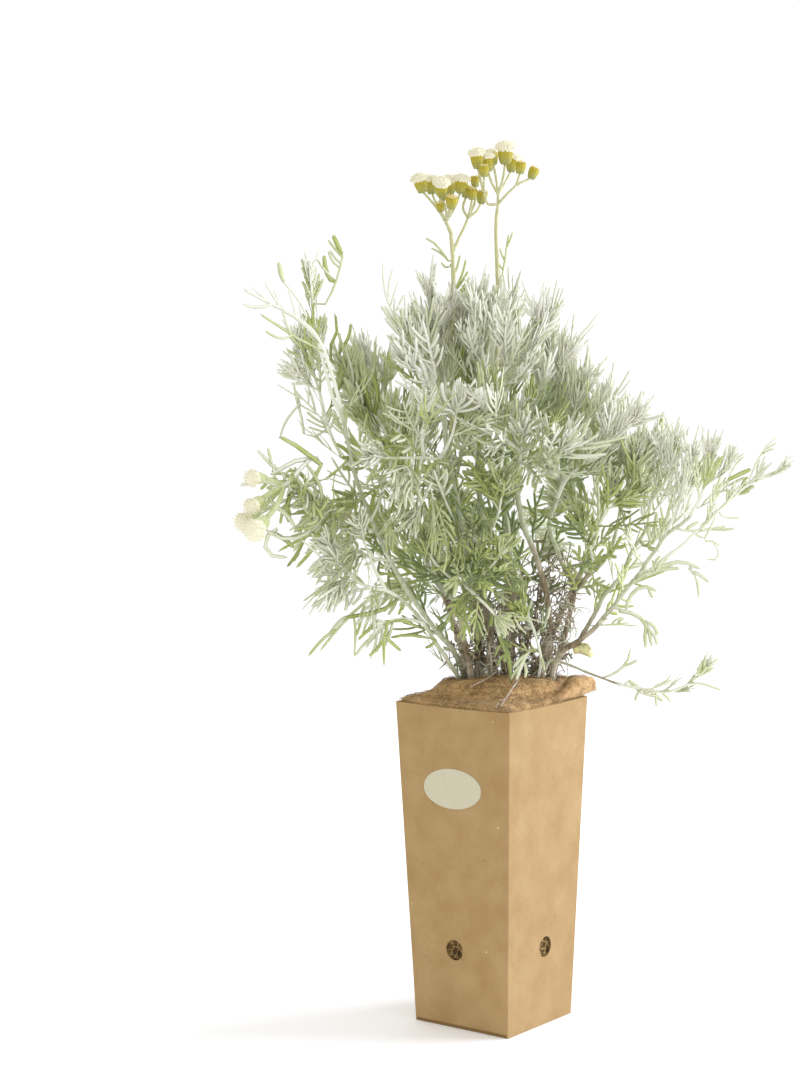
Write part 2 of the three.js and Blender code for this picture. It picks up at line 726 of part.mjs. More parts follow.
// A body grown by the gap at every side, to cut what stands next to it.
function rodPair(points, steps, sides, radius) {
  const curve = curveOf(points);
  const fatPoints = points.map((point) => point.clone());
  const last = fatPoints.length - 1;
  const ahead = fatPoints[last].clone().sub(fatPoints[last - 1]).setLength(GAP);
  fatPoints[last].add(ahead);
  const fatRadius = radius.map((value) => value + GAP);
  return {
    body: rod(curve, steps, sides, radius),
    fat: rod(curveOf(fatPoints), steps, sides, fatRadius),
  };
}

const groundBlock = new THREE.BoxGeometry(POT_TOP, POT_TOP, SOIL_TOP + GAP);
groundBlock.translate(0, 0, (SOIL_TOP + GAP) / 2);
const ground = toSolid(groundBlock);

const STEM_SIDES = 6;
const stems = {};

for (const [name, spec] of Object.entries(STEMS)) {
  const points = [root(...spec.root), ...spec.way.map(at)];
  const pair = rodPair(points, points.length - 1, STEM_SIDES, spec.radius);
  for (const fork of spec.forks ?? []) {
    const branch = rodPair(fork.way.map(at), fork.way.length - 1, STEM_SIDES, fork.radius);
    pair.body = pair.body.add(branch.body);
    pair.fat = pair.fat.add(branch.fat);
  }
  pair.body = pair.body.subtract(ground);
  stems[name] = pair;
}

// Flower heads: a cup of bracts with the florets on top.
function flowerHead(foot, lean) {
  const r = HEAD_WIDTH / 2;
  const profile = [[0, 0], [r * 0.55, 0.6], [r * 0.85, HEAD_LENGTH * 0.4],
    [r, HEAD_LENGTH * 0.85], [0, HEAD_LENGTH]];
  const geometry = new THREE.LatheGeometry(profile.map(([x, y]) => new THREE.Vector2(x, y)), 6);
  geometry.applyQuaternion(new THREE.Quaternion().setFromUnitVectors(new THREE.Vector3(0, 1, 0), lean));
  geometry.translate(foot.x, foot.y, foot.z);
  return toSolid(geometry);
}

for (const [name, spec] of Object.entries(FLOWERS)) {
  const points = spec.way.map(at);
  const pair = rodPair(points, points.length - 1, 5, spec.radius);
  for (const fork of spec.forks ?? []) {
    pair.body = pair.body.add(rod(curveOf(fork.way.map(at)), fork.way.length - 1, 5, fork.radius));
  }
  for (const way of spec.pedicels ?? []) {
    const stalk = way.map(at);
    pair.body = pair.body.add(rod(curveOf(stalk), stalk.length - 1, 4, PEDICEL_RADIUS));
    const end = stalk[stalk.length - 1];
    const lean = end.clone().sub(stalk[stalk.length - 2]).normalize();
    if (spec.headLean) {
      lean.add(new THREE.Vector3(...spec.headLean).applyAxisAngle(UP, VIEW_TURN)).normalize();
    } else {
      lean.addScaledVector(UP, 1.5).normalize();
    }
    pair.body = pair.body.add(flowerHead(end.clone().addScaledVector(lean, -0.5), lean));
  }
  pair.body = mainBody(pair.body.subtract(stems[spec.on].fat));
  stems[name] = pair;
}

// Shoots: first their axes, then their leaves, which keep clear of everything that is already there.
const shoots = {};

for (const [name, spec] of Object.entries(SHOOTS)) {
  const ways = spec.ways.map(
    (way) => way.map((point) => (point === "root" ? root(...spec.root) : at(point))));
  let body = null;
  for (const points of ways) {
    const axis = rod(curveOf(points), points.length - 1, 4, SHOOT_RADIUS);
    body = body ? body.add(axis) : axis;
  }
  if (spec.bridge) {
    body = body.add(rod(curveOf([ways[0][1], ways[1][1]]), 2, 5, BRIDGE_RADIUS));
  }
  body = mainBody(body.subtract(spec.on ? stems[spec.on].fat : ground));
  shoots[name] = { body, ways };
}

function touches(box, other) {
  const reach = other.boundingBox();
  return [0, 1, 2].every((k) => box.min[k] < reach.max[k] && box.max[k] > reach.min[k]);
}

// A leaf blade from a foot along a heading, bent towards the given side.
const BLADE_REACH = 0.9;
const STRAIGHT_BEND = 0.03;
const TIP_WIDTH = 0.5;
const TIP_THICKNESS = 0.3;

function leafBlade(foot, heading, bend, length, grow) {
  const middle = foot.clone().addScaledVector(heading, length / 2);
  const tip = foot.clone().addScaledVector(heading, length * BLADE_REACH).addScaledVector(bend, length);
  const curve = new THREE.QuadraticBezierCurve3(foot, middle, tip);
  const steps = bend.lengthSq() > STRAIGHT_BEND ? 2 : 1;
  return rod(curve, steps, 3, [LEAF_WIDTH / 2 + grow, TIP_WIDTH + grow],
    [LEAF_THICKNESS / 2 + grow, TIP_THICKNESS + grow]);
}

const GOLDEN_TURN = Math.PI * (3 - Math.sqrt(5));
const TRIES = 9;
const obstacles = [];

function isClear(blade, owner) {
  const box = blade.boundingBox();
  return !obstacles.some(({ name, solid }) => name !== owner && touches(box, solid)
    && blade.intersect(solid).volume() > 0);
}

function growLeaf(name, foot, heading, bend, length) {
  if (!isClear(leafBlade(foot, heading, bend, length, LEAF_CLEARANCE), name)) {
    return false;
  }
  const blade = leafBlade(foot, heading, bend, length, 0);
  shoots[name].body = shoots[name].body.add(blade);
  obstacles.push({ name, solid: blade });
  return true;
}

// How far leaves stand off their shoot, at its foot and at its tip, in radians.
const OPENING_LOW = 1.15;
const OPENING_HIGH = 0.35;
const DROOP_OPENING = 0.25;
const LEAF_RISE = 0.12;
const LEAF_SAG = 0.45;
const TRY_TURN = 0.7;
const TRY_SHORTER = 0.05;

function leafAround(name, axis, share, number, spec) {
  const foot = axis.getPointAt(share);
  const along = axis.getTangentAt(share);
  const side = new THREE.Vector3().crossVectors(along, Math.abs(along.z) < 0.9 ? UP
    : new THREE.Vector3(1, 0, 0)).normalize();
  const droop = spec.droop ?? 0;
  const opening = THREE.MathUtils.lerp(OPENING_LOW, OPENING_HIGH, share) + DROOP_OPENING * droop;
  for (let tries = 0; tries < TRIES; tries += 1) {
    const turn = number * GOLDEN_TURN + tries * TRY_TURN;
    const out = side.clone().applyAxisAngle(along, turn);
    const heading = along.clone().multiplyScalar(Math.cos(opening)).addScaledVector(out, Math.sin(opening));
    const bend = UP.clone().multiplyScalar(LEAF_RISE - LEAF_SAG * droop * (0.4 + 0.6 * share));
    if (growLeaf(name, foot, heading, bend, spec.length * (1 - TRY_SHORTER * tries))) {
      return;
    }
  }
}

const mat = fibreMat();
const soil = rootBall();
const pot = kraftPot();
obstacles.push({ name: "fibre_mat", solid: mat }, { name: "kraft_pot", solid: pot });
for (const [name, pair] of Object.entries(stems)) {
  obstacles.push({ name, solid: pair.body });
}
for (const [name, shoot] of Object.entries(shoots)) {
  obstacles.push({ name, solid: shoot.body });
}

const TIP_SHARES = [1, 0.85, 0.7, 0.55];
const FIRST_LEAF = 0.35;

for (const [name, spec] of Object.entries(SHOOTS)) {
  const axes = shoots[name].ways.map(curveOf);
  for (const tip of spec.tips ?? []) {
    const goal = at(tip);
    const foot = axes.flatMap((axis) => TIP_SHARES.map((share) => axis.getPointAt(share)))
      .reduce((best, point) => (point.distanceTo(goal) < best.distanceTo(goal) ? point : best));
    const heading = goal.clone().sub(foot);
    const length = heading.length();
    growLeaf(name, foot, heading.normalize(), new THREE.Vector3(), length / BLADE_REACH);
  }
  for (let i = 0; i < spec.leaves; i += 1) {
    const axis = axes[i % axes.length];
    const share = THREE.MathUtils.lerp(FIRST_LEAF, 1, (i + 1) / spec.leaves);
    leafAround(name, axis, share, i, spec);
  }
}

// A dead twig that lies on the front of the mat, and a yellowed leaf at the foot of the right stems.
function dryTwig() {
  const route = [[518, 680, -26], [510, 692, -39], [504, 701, -49], [501, 706, -62]];
  return rod(curveOf(route.map(at)), route.length, 5, [0.7, 0.5]);
}

function yellowedLeaf() {
  const foot = at([573, 650, -14]);
  const tip = at([590, 653, -26]);
  return rod(new THREE.LineCurve3(foot, tip), 2, 4, [1.2, 4], [0.5, 0.5]);
}

const KRAFT = 0xbb9c68;
const PAPER = 0xd0cbaa;
const SOIL = 0x6b5334;
const FELT = 0xa88250;
const BARK = 0x7d6a52;
const PALE_STEM = 0xb6b493;
const SILVER_LEAF = 0xb4bea8;
const FLOWER = 0xc4b25a;

addPiece("kraft_pot", pot, KRAFT);
addPiece("paper_label", paperLabel(), PAPER, 0.7);
addPiece("root_ball", soil, SOIL, 1);
addPiece("fibre_mat", mat, FELT, 1);
addPiece("dry_twig", dryTwig(), BARK);
addPiece("yellowed_leaf", yellowedLeaf(), FLOWER);
for (const name of Object.keys(STEMS)) {
  addPiece(name, stems[name].body, BARK);
}
for (const name of Object.keys(FLOWERS)) {
  addPiece(name, stems[name].body, name.startsWith("corymb") ? FLOWER : PALE_STEM, 0.8);
}
for (const name of Object.keys(SHOOTS)) {
  addPiece(name, shoots[name].body, SILVER_LEAF, 0.85);
}

export default group;
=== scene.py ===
import math
import random

import bpy
from mathutils import Matrix, Vector, noise


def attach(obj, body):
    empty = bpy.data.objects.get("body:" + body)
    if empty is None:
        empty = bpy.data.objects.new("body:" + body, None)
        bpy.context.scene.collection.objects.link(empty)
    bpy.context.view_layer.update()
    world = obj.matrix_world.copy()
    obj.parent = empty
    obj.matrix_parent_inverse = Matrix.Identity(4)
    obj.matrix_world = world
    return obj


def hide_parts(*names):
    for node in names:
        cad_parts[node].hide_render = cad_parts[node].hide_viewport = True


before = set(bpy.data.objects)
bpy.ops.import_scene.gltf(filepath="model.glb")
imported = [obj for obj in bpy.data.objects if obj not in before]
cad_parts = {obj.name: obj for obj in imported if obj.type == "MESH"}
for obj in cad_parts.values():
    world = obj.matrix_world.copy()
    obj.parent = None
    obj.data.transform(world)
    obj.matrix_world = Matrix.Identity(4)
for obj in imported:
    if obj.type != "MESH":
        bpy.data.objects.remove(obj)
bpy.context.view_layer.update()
MM = 0.001
UP = Vector((0, 0, 1))

# The camera stands 1.7 m off with a long lens, a little above the pot, and looks slightly down.
# The plant's routes further on are read from it: pixels across and down a picture of 800 by 1067,
# and millimetres behind the pot's middle.
PICTURE_MIDDLE = (400, 533.5)
PICTURE_HEIGHT = 1067
FOCAL_PIXELS = 2344
SENSOR = 36
VIEW_TURN = math.radians(37.7)
EYE_PITCH = math.radians(-4.6)
EYE_ROLL = math.radians(0.48)
part_turn = Matrix.Rotation(VIEW_TURN, 3, "Z")
eye_turn = Matrix.Rotation(EYE_PITCH, 3, "X") @ Matrix.Rotation(EYE_ROLL, 3, "Y")
eye = Vector((-0.066, -1.687, 0.492))


def at(px, py, depth):
    """The point of the part that shows at a place in the picture, so far behind the pot's middle."""
    ray = Vector(((px - PICTURE_MIDDLE[0]) / FOCAL_PIXELS, 1, (PICTURE_MIDDLE[1] - py) / FOCAL_PIXELS))
    ray = eye_turn @ ray
    ray *= (depth * MM - eye.y) / ray.y
    return part_turn @ (eye + ray)


def points_of(route):
    """The points of a route: its places in the view, with commas between them."""
    return [at(*map(float, place.split())) for place in route.split(",")]


camera_data = bpy.data.cameras.new("long_lens")
camera_data.sensor_width = SENSOR
camera_data.lens = FOCAL_PIXELS * SENSOR / PICTURE_HEIGHT
camera = bpy.data.objects.new("camera", camera_data)
bpy.context.scene.collection.objects.link(camera)
view_axes = part_turn @ eye_turn
camera.matrix_world = Matrix.Translation(part_turn @ eye) @ Matrix((
    (view_axes[0][0], view_axes[0][2], -view_axes[0][1]),
    (view_axes[1][0], view_axes[1][2], -view_axes[1][1]),
    (view_axes[2][0], view_axes[2][2], -view_axes[2][1]),
)).to_4x4()
bpy.context.scene.camera = camera
eye_place = part_turn @ eye

# The pot is one sheet of kraft board, creased into a tapering square tube, with its overlap glued at
# the back and a folded base. Round vents are punched low in each wall, and the front wall's bottom
# edge stops short of the base, so the inner layer shows as a thin line; that strip is painted dark
# brown, its own colour deepened by painted shade for the recess.
POT_HEIGHT = 235.6 * MM
POT_TOP = 100 * MM
POT_BOTTOM = 81.7 * MM
BOARD = 1.2 * MM
POT_FLOOR = 2.4 * MM
CREASE_RADIUS = 0.9 * MM
WALL_BOW = 0.9 * MM
RIM_DIP = 0.7 * MM
HEM = 2.6 * MM
HEM_DEPTH = 0.8 * MM
OVERLAP = 16 * MM
OVERLAP_RISE = 0.5 * MM
VENT_RADIUS = 7.5 * MM
VENT_HEIGHT = 58 * MM
VENT_OFFSET = 3.8 * MM
KRAFT_MID = "#A88B5E"
KRAFT_LIGHT = "#B89D70"
KRAFT_DARK = "#957749"
FLECK_DARK = "#6F5230"
FLECK_LIGHT = "#E2CFA0"
HEM_BROWN_PAINTED_SHADE = "#6E5736"


class Skin:
    """The points and faces of a piece while it is built, with an age for each point, which its
    material reads, and a material number for each face."""

    def __init__(self):
        self.points = []
        self.faces = []
        self.ages = []
        self.paints = []

    def add(self, points, faces, age=0.0, paint=0):
        first = len(self.points)
        self.points.extend(points)
        self.faces.extend([first + i for i in face] for face in faces)
        self.ages.extend([age] * len(points))
        self.paints.extend([paint] * len(faces))


def make_piece(name, skin, materials, node, smooth=True, flat_paint=None):
    """One piece of the plant or pot from its skin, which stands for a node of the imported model. The
    faces of flat_paint are shaded flat, because their creases are too sharp to be rounded over."""
    mesh = bpy.data.meshes.new(name)
    mesh.from_pydata(skin.points, [], skin.faces)
    for material in materials:
        mesh.materials.append(material)
    mesh.polygons.foreach_set("material_index", skin.paints)
    mesh.polygons.foreach_set("use_smooth", [smooth and paint != flat_paint for paint in skin.paints])
    age = mesh.attributes.new("age", "FLOAT", "POINT")
    age.data.foreach_set("value", skin.ages)
    mesh.update()
    piece = bpy.data.objects.new(name, mesh)
    bpy.context.scene.collection.objects.link(piece)
    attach(piece, "root")
    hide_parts(node)
    return piece


def linear(colour):
    """The linear colour of an sRGB hex value."""
    parts = [int(colour[i:i + 2], 16) / 255 for i in (1, 3, 5)]
    return tuple(c / 12.92 if c <= 0.04045 else ((c + 0.055) / 1.055) ** 2.4 for c in parts) + (1.0,)


def add_node(material, kind, inputs=None, **settings):
    """Adds a node to a material. Its inputs are values, or sockets of other nodes to link."""
    tree = material.node_tree
    made = tree.nodes.new(kind)
    for key, value in settings.items():
        setattr(made, key, value)
    for key, value in (inputs or {}).items():
        if isinstance(value, bpy.types.NodeSocket):
            tree.links.new(value, made.inputs[key])
        else:
            made.inputs[key].default_value = value
    return made


def new_material(name, **shine):
    """A material with only its shader; shine holds values that are the same all over."""
    material = bpy.data.materials.new(name)
    material.use_nodes = True
    shader = material.node_tree.nodes["Principled BSDF"]
    for key, value in shine.items():
        shader.inputs[key.replace("_", " ")].default_value = value
    return material, shader


def wear(material, shader, colour, height, distance):
    """Links a colour to the shader, and a height pattern to its bump."""
    links = material.node_tree.links
    links.new(colour, shader.inputs["Base Color"])
    bump = add_node(material, "ShaderNodeBump", {"Height": height, "Distance": distance})
    links.new(bump.outputs["Normal"], shader.inputs["Normal"])


def mix_colours(material, factor, first, second):
    """The colour between two others, at a factor that is a socket or a number."""
    mixed = add_node(material, "ShaderNodeMix", {0: factor, 6: first, 7: second}, data_type="RGBA")
    return mixed.outputs[2]


def kraft_board():
    """Kraft board, rolled and unbleached: matt and warm, cloudy from the pulp, with stray fibres and
    dark and pale flecks of wood."""
    material, shader = new_material("rolled_kraft_board", Roughness=0.88, Specular_IOR_Level=0.3)
    place = add_node(material, "ShaderNodeTexCoord").outputs["Object"]
    clouds = add_node(material, "ShaderNodeTexNoise", {
        "Vector": place, "Scale": 1 / (24 * MM), "Detail": 5.0, "Roughness": 0.62})
    cloudy = add_node(material, "ShaderNodeMapRange", {
        "Value": clouds.outputs["Fac"], 1: 0.35, 2: 0.65})
    tint = mix_colours(material, cloudy.outputs[0], linear(KRAFT_DARK), linear(KRAFT_LIGHT))
    tint = mix_colours(material, 0.62, tint, linear(KRAFT_MID))
    # Pulp fibres are 0.03 mm thick, and are drawn ten times as coarse so that they show.
    stretched = add_node(material, "ShaderNodeMapping", {
        "Vector": place, "Scale": (1.0, 1.0, 0.35), "Rotation": (0.3, 0.5, 0.2)})
    fibres = add_node(material, "ShaderNodeTexNoise", {
        "Vector": stretched.outputs[0], "Scale": 1 / (1.1 * MM), "Detail": 4.0, "Roughness": 0.7})
    fibrous = add_node(material, "ShaderNodeMapRange", {
        "Value": fibres.outputs["Fac"], 1: 0.3, 2: 0.7, 3: 0.0, 4: 0.34})
    tint = mix_colours(material, fibrous.outputs[0], tint, linear(KRAFT_DARK))
    for size, spread, share, colour in (
            (9 * MM, 0.8 * MM, 0.62, FLECK_DARK), (13 * MM, 0.9 * MM, 0.7, FLECK_LIGHT),
            (4.5 * MM, 0.32 * MM, 0.55, FLECK_DARK)):
        cells = add_node(material, "ShaderNodeTexVoronoi", {"Vector": place, "Scale": 1 / size})
        near = add_node(material, "ShaderNodeMapRange", {
            "Value": cells.outputs["Distance"], 1: 0.5 * spread / size, 2: spread / size,
            3: 1.0, 4: 0.0})
        chance = add_node(material, "ShaderNodeSeparateColor", {0: cells.outputs["Color"]})
        chosen = add_node(material, "ShaderNodeMath", {0: chance.outputs[0], 1: share},
                          operation="GREATER_THAN")
        strength = add_node(material, "ShaderNodeMath", {0: near.outputs[0], 1: chosen.outputs[0]},
                            operation="MULTIPLY")
        softened = add_node(material, "ShaderNodeMath", {0: strength.outputs[0], 1: 0.62},
                            operation="MULTIPLY")
        tint = mix_colours(material, softened.outputs[0], tint, linear(colour))
    wear(material, shader, tint, fibres.outputs["Fac"], 0.12 * MM)
    return material


def hem_strip_painted_shade():
    """The recessed hem strip of kraft board: raw pulp layers, darker and rougher; its dark brown is
    partly painted shade for the recess.
    """
    material, shader = new_material("hem_board_painted_shade", Roughness=0.95, Specular_IOR_Level=0.2)
    place = add_node(material, "ShaderNodeTexCoord").outputs["Object"]
    layers = add_node(material, "ShaderNodeTexNoise", {
        "Vector": place, "Scale": 1 / (0.8 * MM), "Detail": 3.0})
    # Painted shade: the strip's brown is darkened to stand for the shadow in its recess.
    tint = mix_colours(material, layers.outputs["Fac"], linear(HEM_BROWN_PAINTED_SHADE), linear(KRAFT_DARK))
    wear(material, shader, tint, layers.outputs["Fac"], 0.1 * MM)
    return material


def pot_half(height):
    """Half the pot's outer width at a height above the floor."""
    return (POT_BOTTOM + (POT_TOP - POT_BOTTOM) * height / POT_HEIGHT) / 2


def wall_out(wall, across, height):
    """How far a wall stands proud of its flat place, across from -1 to 1 and up it."""
    rise = height / POT_HEIGHT
    out = WALL_BOW * (1 - across ** 2) * rise ** 2
    if wall == 3 and height < HEM:
        out -= HEM_DEPTH
    if wall == 2 and across * pot_half(height) > pot_half(height) - OVERLAP:
        out += OVERLAP_RISE
    return out


def pot_ring(height, inset, level=None):
    """The pot's outline at a height, set in from its outer face. Walls 0 to 3 face +X, +Y, -X, -Y."""
    half = pot_half(height) - inset
    radius = max(CREASE_RADIUS - inset, 0.25 * MM)
    ring = []
    steps = 14
    for wall in range(4):
        turn = wall * math.pi / 2
        out = Vector((math.cos(turn), math.sin(turn), 0))
        side = Vector((-out.y, out.x, 0))
        for i in range(steps + 1):
            across = -1 + 2 * i / steps
            proud = wall_out(wall, across, height) if inset < BOARD else WALL_BOW * (
                1 - across ** 2) * (height / POT_HEIGHT) ** 2
            dip = RIM_DIP * (1 - across ** 2) * max(0.0, height / POT_HEIGHT - 0.9) * 10
            point = out * (half + proud) + side * (across * (half - radius))
            point.z = (height if level is None else level) - dip
            ring.append(point)
        centre = (out + side) * (half - radius)
        for i in (1, 2):
            angle = turn + i * math.pi / 6
            point = centre + radius * Vector((math.cos(angle), math.sin(angle), 0))
            point.z = height if level is None else level
            ring.append(point)
    return ring


def add_rings(skin, rings, age=0.0, paint=0, caps=True):
    """A closed skin through rings of equally many points, turning counter-clockwise as they rise."""
    sides = len(rings[0])
    points = [point for ring in rings for point in ring]
    faces = []
    for i in range(len(rings) - 1):
        low = i * sides
        high = low + sides
        for j in range(sides):
            k = (j + 1) % sides
            faces.append((low + j, low + k, high + k, high + j))
    if caps:
        faces.append(tuple(reversed(range(sides))))
        faces.append(tuple(range((len(rings) - 1) * sides, len(rings) * sides)))
    skin.add(points, faces, age, paint)


def kraft_pot():
    """The pot: four tapering walls with their vents, and a base."""
    skin = Skin()
    inner_base = pot_ring(0, 7 * MM, 0.5 * MM)
    rings = [inner_base, pot_ring(0, 6 * MM, 0), pot_ring(0, 0.3 * MM, 0), pot_ring(0.2 * MM, 0)]
    rings += [pot_ring(h, 0) for h in (HEM - 0.15 * MM, HEM + 0.15 * MM, 6 * MM)]
    levels = 26
    rings += [pot_ring(6 * MM + (POT_HEIGHT - 6.3 * MM) * i / levels, 0) for i in range(1, levels + 1)]
    rings += [pot_ring(POT_HEIGHT, 0.2 * MM), pot_ring(POT_HEIGHT, BOARD - 0.2 * MM),
              pot_ring(POT_HEIGHT - 0.3 * MM, BOARD)]
    rings += [pot_ring(POT_HEIGHT - (POT_HEIGHT - POT_FLOOR) * i / levels, BOARD)
              for i in range(1, levels + 1)]
    add_rings(skin, rings)
    sides = len(rings[0])
    # The front wall's recessed hem strip takes the second material, painted dark brown as painted shade
    # in the recess.
    for i, face in enumerate(skin.faces[:-2]):
        hem_wall = 3 * (sides // 4) <= i % sides < 3 * (sides // 4) + 15
        if 3 * sides <= i < 5 * sides and hem_wall:
            skin.paints[i] = 1
    pot = make_piece("kraft_board_pot", skin, [kraft_board(), hem_strip_painted_shade()], "kraft_pot",
                     smooth=False)
    cutters = []
    for turn, place in ((Matrix.Rotation(math.pi / 2, 4, "X"), (-VENT_OFFSET, 0, VENT_HEIGHT)),
                        (Matrix.Rotation(math.pi / 2, 4, "Y"), (0, VENT_OFFSET, VENT_HEIGHT))):
        punch = Skin()
        rings = []
        for end in (-70 * MM, 70 * MM):
            rings.append([(turn @ Vector((VENT_RADIUS * math.cos(a), VENT_RADIUS * math.sin(a), end)))
                          + Vector(place) for a in (2 * math.pi * i / 48 for i in range(48))])
        add_rings(punch, rings)
        mesh = bpy.data.meshes.new("vent_punch")
        mesh.from_pydata(punch.points, [], punch.faces)
        cutter = bpy.data.objects.new("vent_punch", mesh)
        bpy.context.scene.collection.objects.link(cutter)
        cutters.append(cutter)
        cut = pot.modifiers.new("vents", "BOOLEAN")
        cut.object = cutter
        cut.operation = "DIFFERENCE"
        cut.solver = "EXACT"
    graph = bpy.context.evaluated_depsgraph_get()
    punched = bpy.data.meshes.new_from_object(pot.evaluated_get(graph))
    pot.modifiers.clear()
    pot.data = punched
    for cutter in cutters:
        bpy.data.objects.remove(cutter)
    return pot


pot = kraft_pot()

# An oval paper label is stuck on the front wall, a little askew. It is die-cut from uncoated cream
# paper and left bare.
LABEL_WIDTH = 50.5 * MM
LABEL_LENGTH = 29.2 * MM
LABEL_HEIGHT = 176.4 * MM
LABEL_OFFSET = -1 * MM
LABEL_TILT = math.radians(2.5)
LABEL_PROUD = 0.35 * MM
PAPER_CREAM = "#C8C3AA"
PAPER_SHADE = "#BCB699"


def label_paper():
    """Uncoated label paper: smooth and matt, with a faint mottle from its fibres."""
    material, shader = new_material("uncoated_label_paper", Roughness=0.7, Specular_IOR_Level=0.35)
    place = add_node(material, "ShaderNodeTexCoord").outputs["Object"]
    mottle = add_node(material, "ShaderNodeTexNoise", {
        "Vector": place, "Scale": 1 / (3 * MM), "Detail": 6.0, "Roughness": 0.7})
    tint = mix_colours(material, mottle.outputs["Fac"], linear(PAPER_SHADE), linear(PAPER_CREAM))
    wear(material, shader, tint, mottle.outputs["Fac"], 0.05 * MM)
    return material


def paper_label():
    """The oval label, laid on the pot's front wall."""
    skin = Skin()
    count = 96
    rings = []
    for share, lift in ((1.0, 0.0), (1.0, 0.8), (0.985, 1.0), (0.8, 1.05), (0.5, 1.1), (0.1, 1.1)):
        ring = []
        for i in range(count):
            angle = 2 * math.pi * i / count
            x = LABEL_WIDTH / 2 * share * math.cos(angle)
            z = LABEL_LENGTH / 2 * share * math.sin(angle)
            across = x * math.cos(LABEL_TILT) - z * math.sin(LABEL_TILT) + LABEL_OFFSET
            height = x * math.sin(LABEL_TILT) + z * math.cos(LABEL_TILT) + LABEL_HEIGHT
            wall = pot_half(height) + wall_out(3, across / pot_half(height), height)
            ring.append(Vector((across, -wall - 0.05 * MM - lift * LABEL_PROUD, height)))
        rings.append(ring)
    add_rings(skin, rings)
    return make_piece("oval_paper_label", skin, [label_paper()], "paper_label",
                      smooth=False)


paper_label()

# The root ball fills the pot: dark peat held together by fine roots. It shows in the vents, where
# brown root ends and bark bits press against the board.
SOIL_TOP = 222 * MM
SOIL_GAP = 0.3 * MM
SOIL_CELL = 4 * MM
PEAT_DARK = "#2E2114"
PEAT_BROWN = "#6E5534"
ROOT_STRAW = "#A98F58"


def potting_soil():
    """Moist peat with bark: near black in its pores, brown on its crumbs and straw where roots run."""
    material, shader = new_material("rooted_peat", Roughness=0.97, Specular_IOR_Level=0.15)
    place = add_node(material, "ShaderNodeTexCoord").outputs["Object"]
    crumbs = add_node(material, "ShaderNodeTexNoise", {
        "Vector": place, "Scale": 1 / (2.6 * MM), "Detail": 5.0, "Roughness": 0.75})
    crumbly = add_node(material, "ShaderNodeMapRange", {
        "Value": crumbs.outputs["Fac"], 1: 0.36, 2: 0.62})
    tint = mix_colours(material, crumbly.outputs[0], linear(PEAT_DARK), linear(PEAT_BROWN))
    roots = add_node(material, "ShaderNodeTexVoronoi", {"Vector": place, "Scale": 1 / (5 * MM)},
                     feature="DISTANCE_TO_EDGE")
    rooty = add_node(material, "ShaderNodeMapRange", {
        "Value": roots.outputs["Distance"], 1: 0.02, 2: 0.10, 3: 0.75, 4: 0.0})
    tint = mix_colours(material, rooty.outputs[0], tint, linear(ROOT_STRAW))
    wear(material, shader, tint, crumbs.outputs["Fac"], 0.6 * MM)
    return material


def spline(points, step):
    """Points no more than a step apart along a smooth curve through the given ones."""
    knots = [Vector(point) for point in points]
    ends = [knots[0] * 2 - knots[1]] + knots + [knots[-1] * 2 - knots[-2]]
    line = []
    for a, b, c, d in zip(ends, ends[1:], ends[2:], ends[3:]):
        count = max(1, math.ceil((c - b).length / step))
        first = (b - a).length ** 0.5
        second = first + (c - b).length ** 0.5
        third = second + (d - c).length ** 0.5
        for i in range(count):
            t = first + (second - first) * i / count
            ab = a.lerp(b, t / first)
            bc = b.lerp(c, (t - first) / (second - first))
            cd = c.lerp(d, (t - second) / (third - second))
            abc = ab.lerp(bc, t / second)
            bcd = bc.lerp(cd, (t - first) / (third - first))
            line.append(abc.lerp(bcd, (t - first) / (second - first)))
    line.append(knots[-1])
    return line


def add_tube(skin, line, radius, sides=8, age=0.0, paint=0, rough=0.0):
    """A closed tube along a line; radius is a pair for its ends or a function of the share along."""
    if not callable(radius):
        start, end = radius
        radius = lambda share: start + (end - start) * share
    ahead = (line[1] - line[0]).normalized()
    side = ahead.cross(UP if abs(ahead.z) < 0.9 else Vector((1, 0, 0))).normalized()
    rings = []
    for i, centre in enumerate(line):
        ahead = (line[min(i + 1, len(line) - 1)] - line[max(i - 1, 0)]).normalized()
        side = (side - ahead * side.dot(ahead)).normalized()
        up = ahead.cross(side)
        size = radius(i / (len(line) - 1))
        ring = []
        for j in range(sides):
            turn = 2 * math.pi * j / sides
            out = side * math.cos(turn) + up * math.sin(turn)
            swell = 1.0
            if rough:
                swell += rough * noise.noise((centre + out * size) / (2.5 * MM))
            ring.append(centre + out * size * swell)
        rings.append(ring)
    add_rings(skin, rings, age, paint)


